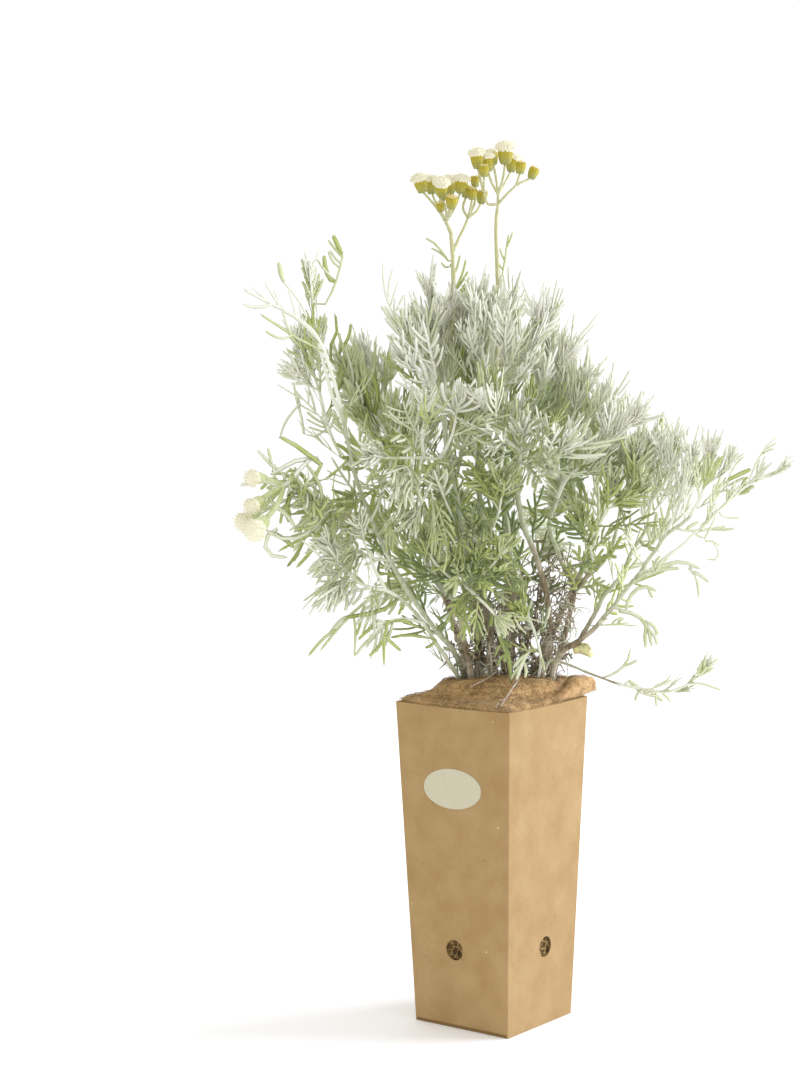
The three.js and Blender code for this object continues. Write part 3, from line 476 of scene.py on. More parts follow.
def root_ball():
    """The soil and roots that fill the pot."""
    skin = Skin()
    low = POT_FLOOR + SOIL_GAP
    rows = round((SOIL_TOP - low) / SOIL_CELL)
    columns = 20
    rings = []
    for i in range(rows + 1):
        height = low + (SOIL_TOP - low) * i / rows
        half = pot_half(height) - BOARD - SOIL_GAP
        ring = []
        for wall in range(4):
            turn = wall * math.pi / 2
            out = Vector((math.cos(turn), math.sin(turn), 0))
            side = Vector((-out.y, out.x, 0))
            for j in range(columns):
                across = -1 + 2 * j / columns
                point = out * half + side * (across * half) + UP * height
                crumb = noise.noise(point / (3 * MM)) + 0.6 * noise.noise(point / (1.4 * MM))
                ring.append(point - out * (0.5 * MM + 0.5 * MM * crumb))
        rings.append(ring)
    add_rings(skin, rings)
    rng = random.Random(11)
    for wall in range(4):
        turn = Matrix.Rotation(wall * math.pi / 2, 3, "Z")
        offset = {0: VENT_OFFSET, 1: VENT_OFFSET, 2: -VENT_OFFSET, 3: -VENT_OFFSET}[wall]
        for _ in range(26):
            spot = Vector((rng.uniform(-1, 1), rng.uniform(-1, 1))) * VENT_RADIUS
            heading = rng.uniform(0, math.pi)
            reach = rng.uniform(3, 8) * MM
            line = []
            for k in (-1, -0.4, 0.3, 1):
                across = offset + spot.x + k * reach * math.cos(heading) + rng.uniform(-1, 1) * MM
                height = VENT_HEIGHT + spot.y + k * reach * math.sin(heading) + rng.uniform(-1, 1) * MM
                depth = pot_half(VENT_HEIGHT) - BOARD - rng.uniform(0.6, 1.4) * MM
                line.append(turn @ Vector((depth, across, height)))
            add_tube(skin, spline(line, 2 * MM), (0.32 * MM, 0.18 * MM), sides=5)
    return make_piece("rooted_soil", skin, [potting_soil()], "root_ball")


root_ball()

# A mat of matted plant fibre is tucked inside the rim over the soil. It humps up round the stems,
# hollows at both sides of them, and a thick fold of it hangs over the far right corner.
MAT_RISE = 18 * MM
MAT_FOLD = 10 * MM
MAT_GAP = 0.5 * MM
MAT_STEPS = 220
MOUTH_CENTRE = part_turn @ Vector((10, 7, 0)) * MM
MOUTH_ACROSS = 40 * MM
MOUTH_AWAY = 19 * MM
MOUTH_POWER = 4
STRAND_RADIUS = 0.13 * MM
FELT_BROWN = "#BA905A"
FELT_DARK = "#7C5C2C"
FELT_STRAW = "#E6C58F"


def fibre_felt():
    """Needled plant fibre: soft and matt, straw on its loose strands and dark brown between them."""
    material, shader = new_material("needled_fibre_felt", Roughness=0.95, Specular_IOR_Level=0.15,
                                    Sheen_Weight=0.12, Sheen_Roughness=0.6)
    place = add_node(material, "ShaderNodeTexCoord").outputs["Object"]
    tufts = add_node(material, "ShaderNodeTexNoise", {
        "Vector": place, "Scale": 1 / (11 * MM), "Detail": 4.0, "Roughness": 0.6})
    tufted = add_node(material, "ShaderNodeMapRange", {"Value": tufts.outputs["Fac"], 1: 0.36, 2: 0.62})
    tint = mix_colours(material, tufted.outputs[0], linear(FELT_DARK), linear(FELT_BROWN))
    # Strands are 0.05 mm thick, and are drawn ten times as coarse so that they show.
    tangled = add_node(material, "ShaderNodeTexNoise", {
        "Vector": place, "Scale": 1 / (1.3 * MM), "Detail": 5.0, "Roughness": 0.75, "Distortion": 1.5})
    strands = add_node(material, "ShaderNodeMapRange", {
        "Value": tangled.outputs["Fac"], 1: 0.42, 2: 0.66})
    tint = mix_colours(material, strands.outputs[0], tint, linear(FELT_STRAW))
    wear(material, shader, tint, tangled.outputs["Fac"], 0.5 * MM)
    return material


def mouth_point(turn):
    """The edge of the mat's opening round the stems, in a direction of the view frame."""
    c = math.cos(turn)
    s = math.sin(turn)
    reach = (abs(c / MOUTH_ACROSS) ** MOUTH_POWER + abs(s / MOUTH_AWAY) ** MOUTH_POWER) ** (
        -1 / MOUTH_POWER)
    return part_turn @ Vector((c * reach, s * reach, 0)) + MOUTH_CENTRE


def fibre_mat():
    """The felt that covers the soil, with its fold over the rim and its loose fibres."""
    skin = Skin()
    half = pot_half(SOIL_TOP) - BOARD - MAT_GAP
    rings = []
    top_points = []
    for i in range(MAT_STEPS):
        turn = 2 * math.pi * i / MAT_STEPS
        reach = half / max(abs(math.cos(turn)), abs(math.sin(turn)))
        edge = Vector((math.cos(turn) * reach, math.sin(turn) * reach, 0))
        inner = mouth_point(turn - VIEW_TURN)
        away = math.atan2(math.sin(turn - math.pi / 4), math.cos(turn - math.pi / 4))
        fold = math.exp(-((away / 0.35) ** 2))
        spread = 1 + MAT_FOLD * fold / reach
        rise = MAT_RISE * (0.7 + 0.3 * max(0.0, -math.sin(turn - VIEW_TURN)))
        profile = [
            (1.0, 1.0, -13), (1.0, 1.0, -4), (1.0, 1.0, 0.5), (1.0, spread, 1.5 + 3 * fold),
            (0.97, spread + 0.012 * fold, 2.0 + 7 * fold), (0.92, spread, 2.8 + 10.5 * fold),
            (0.84, 0.5 + 0.5 * spread, 3.2 + 12 * fold), (0.72, 1.0, 3.4 + 11.5 * fold),
            (0.6, 1.0, 4.0 + 10 * fold), (0.5, 1.0, 5.2 + 8 * fold),
            (0.42, 1.0, 0.42 * rise / MM + 6 * fold), (0.34, 1.0, 0.66 * rise / MM + 5 * fold),
            (0.24, 1.0, 0.86 * rise / MM + 2 * fold), (0.14, 1.0, 0.98 * rise / MM),
            (0.06, 1.0, rise / MM - 0.2), (0.01, 1.0, rise / MM - 1.8), (0.0, 1.0, rise / MM - 5),
            (0.0, 1.0, -5), (0.0, 1.0, -13),
        ]
        ring = []
        for k, (share, stretch, height) in enumerate(profile):
            point = inner.lerp(edge * stretch, share)
            point.z = POT_HEIGHT + height * MM
            if 3 <= k <= 15:
                lump = noise.noise(point / (14 * MM)) * 1.6 + noise.noise(point / (5 * MM)) * 0.9
                lump += noise.noise(point / (1.8 * MM)) * 0.35
                point.z += lump * MM
                top_points.append((i, k))
            ring.append(point)
        rings.append(ring)
    sides = len(rings[0])
    points = [point for ring in rings for point in ring]
    faces = []
    for i in range(MAT_STEPS):
        here = i * sides
        there = ((i + 1) % MAT_STEPS) * sides
        for j in range(sides):
            k = (j + 1) % sides
            faces.append((here + j, there + j, there + k, here + k))
    skin.add(points, faces)
    # Loose strands lie over the mat in every direction, and some stand off it.
    rng = random.Random(5)
    for _ in range(2600):
        i, k = rng.choice(top_points)
        foot = rings[i][k]
        beside = (rings[(i + 1) % MAT_STEPS][k] - foot).normalized()
        inward = (rings[i][min(k + 1, 15)] - rings[i][k - 1]).normalized()
        normal = beside.cross(inward).normalized()
        heading = rng.uniform(0, 2 * math.pi)
        length = rng.uniform(4, 12) * MM
        lift = rng.uniform(0.2, 1.4) * MM
        line = []
        for t in (0.0, 0.35, 0.7, 1.0):
            heading += rng.uniform(-0.7, 0.7)
            along = beside * math.cos(heading) + inward * math.sin(heading)
            hump = normal * (lift * math.sin(math.pi * t) + 0.1 * MM)
            line.append(foot + along * (length * (t - 0.5)) * 0.8 + hump)
        add_tube(skin, spline(line, 3 * MM), (STRAND_RADIUS, STRAND_RADIUS * 0.6), sides=3)
    return make_piece("fibre_mat_fleece", skin, [fibre_felt()], "fibre_mat")


fibre_mat()

# The woody stems come up through the mat's opening and fan out. The inner ones are brown and rough at
# the foot, with leaf scars and the dry remains of old leaves; all turn grey-green with felt further up.
BARK_BROWN = "#98876C"
BARK_DARK = "#584833"
BARK_GREY = "#B8AE97"
FELTED_GREEN = "#CBCEB4"
FELTED_SHADE = "#ADB18D"
SCAR_SPACING = 11 * MM
BARK_FADE = 40 * MM
# Each stem has the height in millimetres where its bark ends, its foot's place on the soil, and its
# routes, the main one first, each with its radius at both ends.
STEMS = {
    "stem_tall_left": (255, (-17, 8), (
        ((2.2, 1.2), "466 684 7, 460 664 0, 450 646 -10, 440 635 -17, 431 624 -24, 412 597 -34, "
         "400 578 -39, 385 550 -45, 376 530 -49, 368 511 -52, 360 490 -54, 353 468 -56, 349 447 -58, "
         "345 428 -60, 341 408 -62"),
    )),
    "stem_low_left": (248, (-23, -1), (
        ((1.8, 1.3), "460 686 -1, 458 677 -4, 452 667 -14, 443 653 -26, 435 642 -33, 428 630 -39, "
         "419 617 -45, 409 606 -51, 398 597 -57"),
    )),
    "stem_mid_left": (296, (-11, -4), (
        ((2.6, 1.4), "472 682 -6, 469 660 -10, 464 640 -14, 460 618 -18, 453 600 -22, 441 588 -26, "
         "432 574 -28, 424 556 -30, 416 538 -30, 408 520 -28, 400 502 -26, 392 486 -24"),
    )),
    "stem_centre_left": (322, (-8, 7), (
        ((3, 1.8), "478 682 6, 478 655 3, 478 630 0, 476 605 -4, 471 580 -8, 466 550 -12, 462 523 -16, "
         "458 505 -20, 454 490 -24, 450 466 -28, 446 440 -32, 444 420 -36, 442 408 -38"),
    )),
    "stem_centre": (305, (2, -4), (
        ((2.8, 1.6), "491 682 -4, 491 655 -4, 489 630 -2, 485 605 0, 482 580 2, 483 550 2, 483 520 0, "
         "480 500 -4, 477 478 -8, 479 452 -12, 484 430 -16, 487 408 -20, 487 388 -22"),
    )),
    "stem_centre_right": (312, (12, 4), (
        ((3, 1.6), "507 682 4, 511 655 5, 513 625 6, 514 600 8, 512 575 12, 509 545 16, 506 515 18, "
         "503 485 20, 501 455 20, 500 425 18"),
    )),
    "stem_inner_right": (345, (27, 3), (
        ((2.5, 1.7), "533 690 4, 540 668 3, 547 642 0, 549 615 -3, 546 592 -6, 541 573 -8, "
         "532 546 -12, 525 530 -14, 521 515 -15, 518 498 -16, 517 480 -17, 517 460 -18, 516 446 -18, "
         "514 434 -18"),
    )),
    "stem_right_inner": (330, (38, 9), (
        ((2.7, 1.7), "548 690 10, 555 668 12, 562 645 14, 568 622 14, 573 602 12, 575 590 10"),
        ((1.8, 1.4), "575 590 10, 570 577 8, 562 563 4, 555 545 0, 550 530 -2, 550 519 -3, 555 504 -2, "
         "560 490 0, 562 475 0, 561 458 0"),
        ((1.8, 1.2), "575 590 10, 588 576 6, 597 568 2, 607 556 -2, 613 543 -6, 617 528 -8, "
         "620 512 -10, 622 498 -10"),
    )),
    "stem_right_fork": (296, (43, -1), (
        ((2.3, 2), "552 690 -2, 553 672 -4, 558 657 -8, 567 648 -14, 579 641 -20"),
        ((1.7, 1.2), "579 641 -20, 594 629 -28, 604 617 -33, 613 607 -38, 620 597 -42, 630 585 -47, "
         "640 573 -52, 648 560 -56, 656 550 -60, 666 535 -64, 680 525 -68, 690 517 -72"),
        ((1.7, 1.2), "579 641 -20, 590 622 -20, 597 610 -20, 603 597 -20, 612 587 -20, 620 577 -20, "
         "626 565 -20, 632 552 -20, 640 540 -20, 648 525 -20"),
    )),
    "stem_trailing": (262, (34, -6), (
        ((1.2, 0.8), "541 700 -5, 542 682 -6, 545 669 -12, 551 660 -20, 560 662 -27, 572 666 -33, "
         "586 672 -40, 602 678 -46, 618 684 -52"),
    )),
    "stem_back_left": (320, (-13, 17), (
        ((2.8, 1.8), "469 700 17, 469 680 17, 465 660 27, 456 630 44, 446 600 56, 437 570 68, "
         "430 540 78, 424 510 86"),
    )),
    "stem_back_mid": (340, (8, 18), (
        ((2.8, 1.8), "504 700 18, 505 680 18, 506 657 32, 508 620 58, 508 580 80, 506 540 98, "
         "504 500 112"),
    )),
    "stem_back_right": (330, (25, 17), (
        ((2.8, 1.8), "530 700 17, 532 680 17, 541 658 31, 554 630 48, 568 600 63, 582 570 76, "
         "594 540 88, 604 510 96"),
    )),
}

def felted_bark():
    """Young bark under felt: brown, cracked lengthways and dull at the foot, pale grey-green above."""
    material, shader = new_material("bark_under_felt", Roughness=0.85, Specular_IOR_Level=0.25,
                                    Sheen_Weight=0.15)
    place = add_node(material, "ShaderNodeTexCoord").outputs["Object"]
    drawn_out = add_node(material, "ShaderNodeMapping", {"Vector": place, "Scale": (1.0, 1.0, 0.22)})
    cracks = add_node(material, "ShaderNodeTexNoise", {
        "Vector": drawn_out.outputs[0], "Scale": 1 / (1.6 * MM), "Detail": 4.0, "Roughness": 0.7})
    cracked = add_node(material, "ShaderNodeMapRange", {"Value": cracks.outputs["Fac"], 1: 0.38, 2: 0.6})
    wood = mix_colours(material, cracked.outputs[0], linear(BARK_DARK), linear(BARK_BROWN))
    patches = add_node(material, "ShaderNodeTexNoise", {
        "Vector": place, "Scale": 1 / (16 * MM), "Detail": 3.0})
    patchy = add_node(material, "ShaderNodeMapRange", {
        "Value": patches.outputs["Fac"], 1: 0.46, 2: 0.62})
    wood = mix_colours(material, patchy.outputs[0], wood, linear(BARK_GREY))
    age = add_node(material, "ShaderNodeAttribute", attribute_name="age")
    wander = add_node(material, "ShaderNodeMath", {0: patches.outputs["Fac"], 1: -0.5}, operation="ADD")
    young = add_node(material, "ShaderNodeMath", {0: age.outputs["Fac"], 1: wander.outputs[0]},
                     operation="ADD")
    green = mix_colours(material, cracked.outputs[0], linear(FELTED_SHADE), linear(FELTED_GREEN))
    barked = add_node(material, "ShaderNodeMapRange", {"Value": young.outputs[0], 1: 0.35, 2: 0.65})
    tint = mix_colours(material, barked.outputs[0], green, wood)
    wear(material, shader, tint, cracks.outputs["Fac"], 0.35 * MM)
    return material


def bark_age(height, bark_top):
    """How woody a stem is at a height: 1 below the end of its bark, 0 among the leaves."""
    return min(1.0, max(0.0, (bark_top * MM + BARK_FADE - height) / (2 * BARK_FADE)))


def add_stem(skin, line, radius, bark_top):
    """A tapering stem with a swelling at each old leaf scar."""
    length = sum((b - a).length for a, b in zip(line, line[1:]))
    start, end = (value * MM for value in radius)
    phase = noise.noise(line[-1] / MM) * 3

    def size(share):
        ring = math.cos(2 * math.pi * (share * length / SCAR_SPACING + phase))
        return (start + (end - start) * share) * (1 + 0.12 * max(0.0, ring) ** 4)

    first = len(skin.points)
    add_tube(skin, line, size, sides=10, rough=0.2)
    for i in range(first, len(skin.points)):
        skin.ages[i] = bark_age(skin.points[i].z, bark_top)


def stem_root(across, away):
    """A stem's foot on the soil, from its place across the view and away from the eye."""
    return part_turn @ Vector((across * MM, away * MM, SOIL_TOP))


def any_way(rng):
    """A random direction."""
    return Vector((rng.uniform(-1, 1), rng.uniform(-1, 1), rng.uniform(-1, 1)))


def add_remains(skin, line, rng, bark_top):
    """Stubs of shed leaves all along a stem, and dry curled leaf strips on its woody part."""
    for i in range(2, len(line) - 2):
        age = bark_age(line[i].z, bark_top)
        ahead = (line[i + 1] - line[i]).normalized()
        out = ahead.cross(any_way(rng)).normalized()
        if rng.random() < 0.12 + 0.4 * age:
            reach = rng.uniform(1.0, 3.0) * MM
            tip = line[i] + out * (1.4 * MM + reach) + ahead * reach * rng.uniform(0.2, 1.0)
            add_tube(skin, [line[i], line[i].lerp(tip, 0.5) + UP * 0.3 * MM, tip], (0.7 * MM, 0.3 * MM),
                     sides=5, age=age)
        if rng.random() < 0.85 * age:
            add_curl(skin, rng, line[i] + out * 1.2 * MM, out, rng.uniform(5, 14) * MM)


def add_curl(skin, rng, foot, out, reach):
    """A dry leaf strip that has curled up on itself."""
    way = [foot]
    heading = out.copy()
    for _ in range(4):
        heading = (heading + any_way(rng) * 0.9 - UP * 0.25).normalized()
        way.append(way[-1] + heading * reach / 4)
    wide = rng.uniform(0.35, 0.85) * MM
    add_tube(skin, spline(way, 1.6 * MM), (wide, wide * 0.4), sides=5, age=rng.uniform(0.3, 1.1),
             rough=0.3)


def add_dead_shoot(skin, rng, foot, reach, radius):
    """A dead shoot that stands among the stems, crooked, with the curled rests of its leaves."""
    lean = part_turn @ Vector((rng.uniform(-0.2, 0.2), rng.uniform(-0.2, 0.2), 1))
    way = [foot]
    for _ in range(4):
        way.append(way[-1] + (lean + any_way(rng) * 0.25) * reach / 4)
    line = spline(way, 3 * MM)
    add_tube(skin, line, (radius, radius * 0.5), sides=7, age=1.0, rough=0.3)
    add_remains(skin, line, rng, 400)


# How many dead shoots stand round a stem.
THATCH = {"stem_mid_left": 4, "stem_centre_left": 6, "stem_centre": 5, "stem_centre_right": 5,
          "stem_inner_right": 6, "stem_right_inner": 7}
# Dry leaf strips have collected round three stems, as brown brushes: how many there are, where in the
# view, how much they stand up, and how long they are in millimetres.
BRUSHES = {
    "stem_right_inner": (130, (546, 575), (545, 664), (-10, 20), 0.4, (8, 26)),
    "stem_centre_left": (120, (452, 500), (588, 672), (-14, 12), 0.6, (8, 22)),
    "stem_back_mid": (150, (498, 556), (560, 672), (12, 36), 0.6, (10, 26)),
}
# Two stems are smooth: their old leaves have dropped clean away.
SMOOTH_STEMS = ("stem_right_fork", "stem_trailing")
bark = felted_bark()
rng = random.Random(21)
for name, (bark_top, root, routes) in STEMS.items():
    skin = Skin()
    for number, (radius, way) in enumerate(routes):
        points = [stem_root(*root)] * (number == 0) + points_of(way)
        line = spline(points, 3.2 * MM)
        add_stem(skin, line, radius, bark_top)
        if name not in SMOOTH_STEMS:
            add_remains(skin, line, rng, bark_top)
    if name in THATCH:
        for _ in range(THATCH[name]):
            foot = stem_root(root[0] + rng.uniform(-9, 9), root[1] + rng.uniform(-5, 5)) + UP * 6 * MM
            add_dead_shoot(skin, rng, foot, rng.uniform(45, 100) * MM, rng.uniform(0.6, 1.2) * MM)
    if name in BRUSHES:
        count, across, down, behind, lift, reach = BRUSHES[name]
        for _ in range(count):
            foot = at(rng.uniform(*across), rng.uniform(*down), rng.uniform(*behind))
            add_curl(skin, rng, foot, (any_way(rng) + UP * lift).normalized(), rng.uniform(*reach) * MM)
    make_piece(name.replace("stem", "woody_stem"), skin, [bark], name)

# A dead twig lies loose across the front of the mat, pale and crooked, with side twigs and a straw
# behind it.
TWIG_GREY = "#C9BFB0"
TWIG_BROWN = "#8F7B66"


def bleached_twig():
    """A dead twig with its bark gone: pale grey and dull, browner at its knots."""
    material, shader = new_material("bleached_twig", Roughness=0.8, Specular_IOR_Level=0.3)
    place = add_node(material, "ShaderNodeTexCoord").outputs["Object"]
    grain = add_node(material, "ShaderNodeTexNoise", {
        "Vector": place, "Scale": 1 / (2.2 * MM), "Detail": 4.0, "Roughness": 0.65})
    knotted = add_node(material, "ShaderNodeMapRange", {"Value": grain.outputs["Fac"], 1: 0.42, 2: 0.68})
    tint = mix_colours(material, knotted.outputs[0], linear(TWIG_GREY), linear(TWIG_BROWN))
    wear(material, shader, tint, grain.outputs["Fac"], 0.2 * MM)
    return material


skin = Skin()
twig_ways = (
    ((518, 680, -26), (514, 686, -32), (510, 692, -39), (504, 701, -49), (501, 706, -61)),
    ((506, 698, -46), (503, 700, -52), (499, 700, -58)),
    ((499, 703, -55), (497, 705, -60), (496, 709, -63)),
    ((497, 671, -14), (488, 678, -22), (476, 684, -30), (470, 688, -35)),
)
for way, size in zip(twig_ways, (0.62, 0.34, 0.3, 0.4)):
    add_tube(skin, spline([at(*point) for point in way], 2.5 * MM), (size * MM, size * 0.6 * MM),
             sides=7, rough=0.25)
make_piece("bleached_dry_twig", skin, [bleached_twig()], "dry_twig")

# The leafy shoots. Each soft shoot carries feathery leaves all round it: a slim midrib with long, narrow
# lobes that turn up towards the light, under grey felt. Young leaves stand up in a tuft, silver-white;
# those low down stay green, and old ones droop and curl. Leaves towards the bush's middle are painted
# greener and darker: partly the inner leaves' own green, partly painted shade.
LEAF_THICK = 0.25 * MM
GOLDEN_TURN = math.pi * (3 - math.sqrt(5))
# Leaves are painted greener and darker the nearer they lie to this middle of the bush: partly their own
# green, partly painted shade.
SHADE_CENTRE = at(478, 520, 5)
SHADE_REACH = 122 * MM
SHADE_GREEN = 0.66
STEM_LEAF_SPACING = 9
SILVER = "#E8E8D6"
SAGE = "#D2D6B0"
GREEN = "#A8B44E"
DEEP_GREEN = "#6E802E"
FELT_HAIR = "#F2F3EA"


def leaf_felt():
    """Leaf under white felt: matt silver on young leaves, sage and then yellow-green as it wears, and
    greener and darker towards the bush's middle, partly as painted shade.
    """
    material, shader = new_material("felted_leaf", Roughness=0.8, Specular_IOR_Level=0.25,
                                    Sheen_Weight=0.2, Sheen_Roughness=0.5)
    place = add_node(material, "ShaderNodeTexCoord").outputs["Object"]
    # On leaves the age also carries the painted shade of the bush's middle.
    age = add_node(material, "ShaderNodeAttribute", attribute_name="age")
    worn = add_node(material, "ShaderNodeTexNoise", {
        "Vector": place, "Scale": 1 / (9 * MM), "Detail": 4.0, "Roughness": 0.6})
    wander = add_node(material, "ShaderNodeMath", {0: worn.outputs["Fac"], 1: -0.5}, operation="ADD")
    softened = add_node(material, "ShaderNodeMath", {0: wander.outputs[0], 1: 0.7}, operation="MULTIPLY")
    bare = add_node(material, "ShaderNodeMath", {0: age.outputs["Fac"], 1: softened.outputs[0]},
                    operation="ADD")
    to_sage = add_node(material, "ShaderNodeMapRange", {"Value": bare.outputs[0], 1: 0.0, 2: 0.45})
    to_green = add_node(material, "ShaderNodeMapRange", {"Value": bare.outputs[0], 1: 0.4, 2: 0.8})
    to_deep = add_node(material, "ShaderNodeMapRange", {"Value": bare.outputs[0], 1: 0.8, 2: 1.2})
    tint = mix_colours(material, to_sage.outputs[0], linear(SILVER), linear(SAGE))
    tint = mix_colours(material, to_green.outputs[0], tint, linear(GREEN))
    tint = mix_colours(material, to_deep.outputs[0], tint, linear(DEEP_GREEN))
    # The felt's hairs are 0.02 mm thick, and are drawn as tufts of 0.7 mm so that they show.
    hairs = add_node(material, "ShaderNodeTexNoise", {
        "Vector": place, "Scale": 1 / (0.7 * MM), "Detail": 3.0, "Roughness": 0.7})
    hairy = add_node(material, "ShaderNodeMapRange", {
        "Value": hairs.outputs["Fac"], 1: 0.4, 2: 0.7, 3: 0.0, 4: 0.3})
    tint = mix_colours(material, hairy.outputs[0], tint, linear(FELT_HAIR))
    wear(material, shader, tint, hairs.outputs["Fac"], 0.15 * MM)
    return material


def along_line(line):
    """A function that gives the point at a share of a line's length."""
    lengths = [0.0]
    for a, b in zip(line, line[1:]):
        lengths.append(lengths[-1] + (b - a).length)

    def place(share):
        goal = share * lengths[-1]
        for i in range(1, len(line)):
            if lengths[i] >= goal or i == len(line) - 1:
                gap = max(lengths[i] - lengths[i - 1], 1e-9)
                return line[i - 1].lerp(line[i], (goal - lengths[i - 1]) / gap)

    return place


def frame_along(place, share, face):
    """The point, heading, right-hand side and upper side of a blade at a share of its length."""
    here = place(share)
    ahead = (place(min(share + 0.03, 1.0)) - place(max(share - 0.03, 0.0))).normalized()
    across = ahead.cross(face)
    if across.length < 1e-6:
        across = ahead.cross(Vector((0.3, 0.5, 0.81)))
    across.normalize()
    return here, ahead, across, across.cross(ahead)


def add_blade(skin, place, face, width, age, rings=3):
    """A slim blade, closed all round, with a ridge along both sides. place gives its middle line and
    face is where its upper side looks."""
    points = []
    for i in range(rings):
        share = 0.94 * i / (rings - 1)
        here, _, across, normal = frame_along(place, share, face)
        half = width / 2 * (0.55 + 0.45 * math.sin(math.pi * (0.1 + 0.75 * share)))
        points += [here - across * half, here + normal * LEAF_THICK,
                   here + across * half, here - normal * LEAF_THICK]
    points.append(place(1.0))
    faces = [(3, 2, 1, 0)]
    for i in range(rings - 1):
        low = 4 * i
        faces += [(low + j, low + (j + 1) % 4, low + 4 + (j + 1) % 4, low + 4 + j) for j in range(4)]
    low = 4 * (rings - 1)
    faces += [(low + j, low + (j + 1) % 4, low + 4) for j in range(4)]
    skin.add(points, faces, age)


def blade_way(foot, heading, bend, length):
    """A line that leaves along a heading and bends away from it."""
    def place(share):
        return foot + heading * (length * share) + bend * (length * share * share)

    return place


def add_leaf(skin, place, face, pairs, lobe, width, rng, age, rise=0.3):
    """A feathery leaf: its midrib, and lobes of a given length that turn forward and up by rise."""
    # Painted shade: leaves near the bush's middle are made greener and darker, partly their own green.
    age += SHADE_GREEN * max(0.0, 1 - ((place(0.5) - SHADE_CENTRE).length / SHADE_REACH) ** 2)
    add_blade(skin, place, face, width, age, rings=6)
    for k in range(pairs * 2):
        if rng.random() < 0.07:
            continue
        share = 0.22 + 0.6 * (k + rng.uniform(-0.35, 0.35)) / (pairs * 2)
        foot, ahead, across, normal = frame_along(place, max(share, 0.1), face)
        hang = max(0.0, 0.26 - rise)
        spread = rng.uniform(0.7, 1.2) * (1.0 - 0.3 * share) + 0.5 * hang
        side = across if k % 2 else -across
        aim = ahead * math.cos(spread) + side * math.sin(spread) + normal * rng.uniform(-0.05, 0.3)
        aim = (aim + UP * rise).normalized()
        bend = ahead * rng.uniform(0.3, 0.9) + UP * (0.4 * rise) + normal * rng.uniform(-0.15, 0.3)
        bend -= (UP * 0.5 + aim * rng.uniform(0.0, 0.9)) * hang
        reach = lobe * rng.uniform(0.6, 1.05) * (0.65 + 0.3 * math.sin(math.pi * share))
        way = blade_way(foot, aim, bend, reach)
        tint = age + rng.uniform(-0.1, 0.12)
        add_blade(skin, way, face, width * rng.uniform(0.75, 1.1), tint, rings=4 if hang < 0.2 else 5)
        # Some lobes have a tooth of their own.
        if rng.random() < 0.22 and lobe > 10 * MM:
            turned = (aim + side * rng.uniform(0.2, 0.9)).normalized()
            add_blade(skin, blade_way(way(0.45), turned, bend, reach * 0.4), face, width * 0.8, tint)


# Stretches of stem that stay in plain view: the stem, which of its routes, and the highest and lowest
# place in the picture.
CLEAR_STRETCHES = (
    ("stem_tall_left", 0, 400, 640), ("stem_low_left", 0, 590, 660),
    ("stem_centre_left", 0, 405, 530), ("stem_inner_right", 0, 478, 590),
    ("stem_right_inner", 1, 475, 592), ("stem_right_fork", 1, 515, 640),
)
CLEAR_MARGIN = 6


def seen_at(point):
    """The opposite of at(): where a point lies in the picture, and how far behind the pot's middle."""
    flat = part_turn.inverted() @ point
    ray = eye_turn.inverted() @ (flat - eye)
    across = PICTURE_MIDDLE[0] + FOCAL_PIXELS * ray.x / ray.y
    down = PICTURE_MIDDLE[1] - FOCAL_PIXELS * ray.z / ray.y
    return across, down, flat.y / MM


clear_points = []
for stem, number, highest, lowest in CLEAR_STRETCHES:
    line = spline(points_of(STEMS[stem][2][number][1]), 4 * MM)
    clear_points += [place for place in map(seen_at, line) if highest < place[1] < lowest]


def hides_stem(place):
    """Whether a leaf's midrib would pass in front of a stretch that stays in view."""
    for share in (0.2, 0.4, 0.6, 0.8, 1.0):
        px, py, depth = seen_at(place(share))
        for x, y, behind in clear_points:
            if abs(px - x) < CLEAR_MARGIN and abs(py - y) < CLEAR_MARGIN and depth < behind:
                return True
    return False


def add_leaf_round(skin, place, share, turn, opening, length, pairs, lobe, width, rng, age, droop):
    """A leaf on a shoot: at a share of the shoot's way, turned round it, and opened away from it."""
    foot, along, side, _ = frame_along(place, share, UP)
    out = side.copy()
    out.rotate(Matrix.Rotation(turn, 3, along))
    heading = along * math.cos(opening) + out * math.sin(opening)
    heading = (heading + UP * (0.4 * droop)).normalized()
    face = (along - heading * along.dot(heading)).normalized()
    bend = face * rng.uniform(0.02, 0.25) + UP * (0.34 - 0.95 * droop)
    bend += any_way(rng) * (0.15 + 0.22 * droop)
    face.rotate(Matrix.Rotation(rng.uniform(-0.6, 0.6), 3, heading))
    midrib = blade_way(foot, heading, bend, length)
    if not hides_stem(midrib):
        add_leaf(skin, midrib, face, pairs, lobe, width, rng, age, rise=0.26 - 0.6 * droop)


def add_tuft(skin, place, share, turn, leaf_length, width, rng, age, droop):
    """A short side shoot in a leaf's axil, with a few small leaves."""
    foot, along, side, _ = frame_along(place, share, UP)
    out = side.copy()
    out.rotate(Matrix.Rotation(turn, 3, along))
    heading = (along * 0.8 + out * 0.8).normalized()
    reach = rng.uniform(10, 20) * (1.1 - 0.5 * share) * MM
    way = blade_way(foot, heading, UP * (0.25 - 0.4 * droop), reach)
    add_tube(skin, [way(i / 4) for i in range(5)], (0.8 * MM, 0.5 * MM), sides=5, age=age * 0.5)
    count = rng.randint(4, 6)
    for i in range(count):
        part = 0.45 + 0.55 * (i + 1) / count
        add_leaf_round(skin, way, part, i * GOLDEN_TURN + turn, 0.8 - 0.5 * part,
                       rng.uniform(0.6, 0.92) * (1.1 - 0.4 * share) * leaf_length * MM, 3,
                       rng.uniform(0.25, 0.4) * leaf_length * MM,
                       width, rng, age - 0.06, droop)


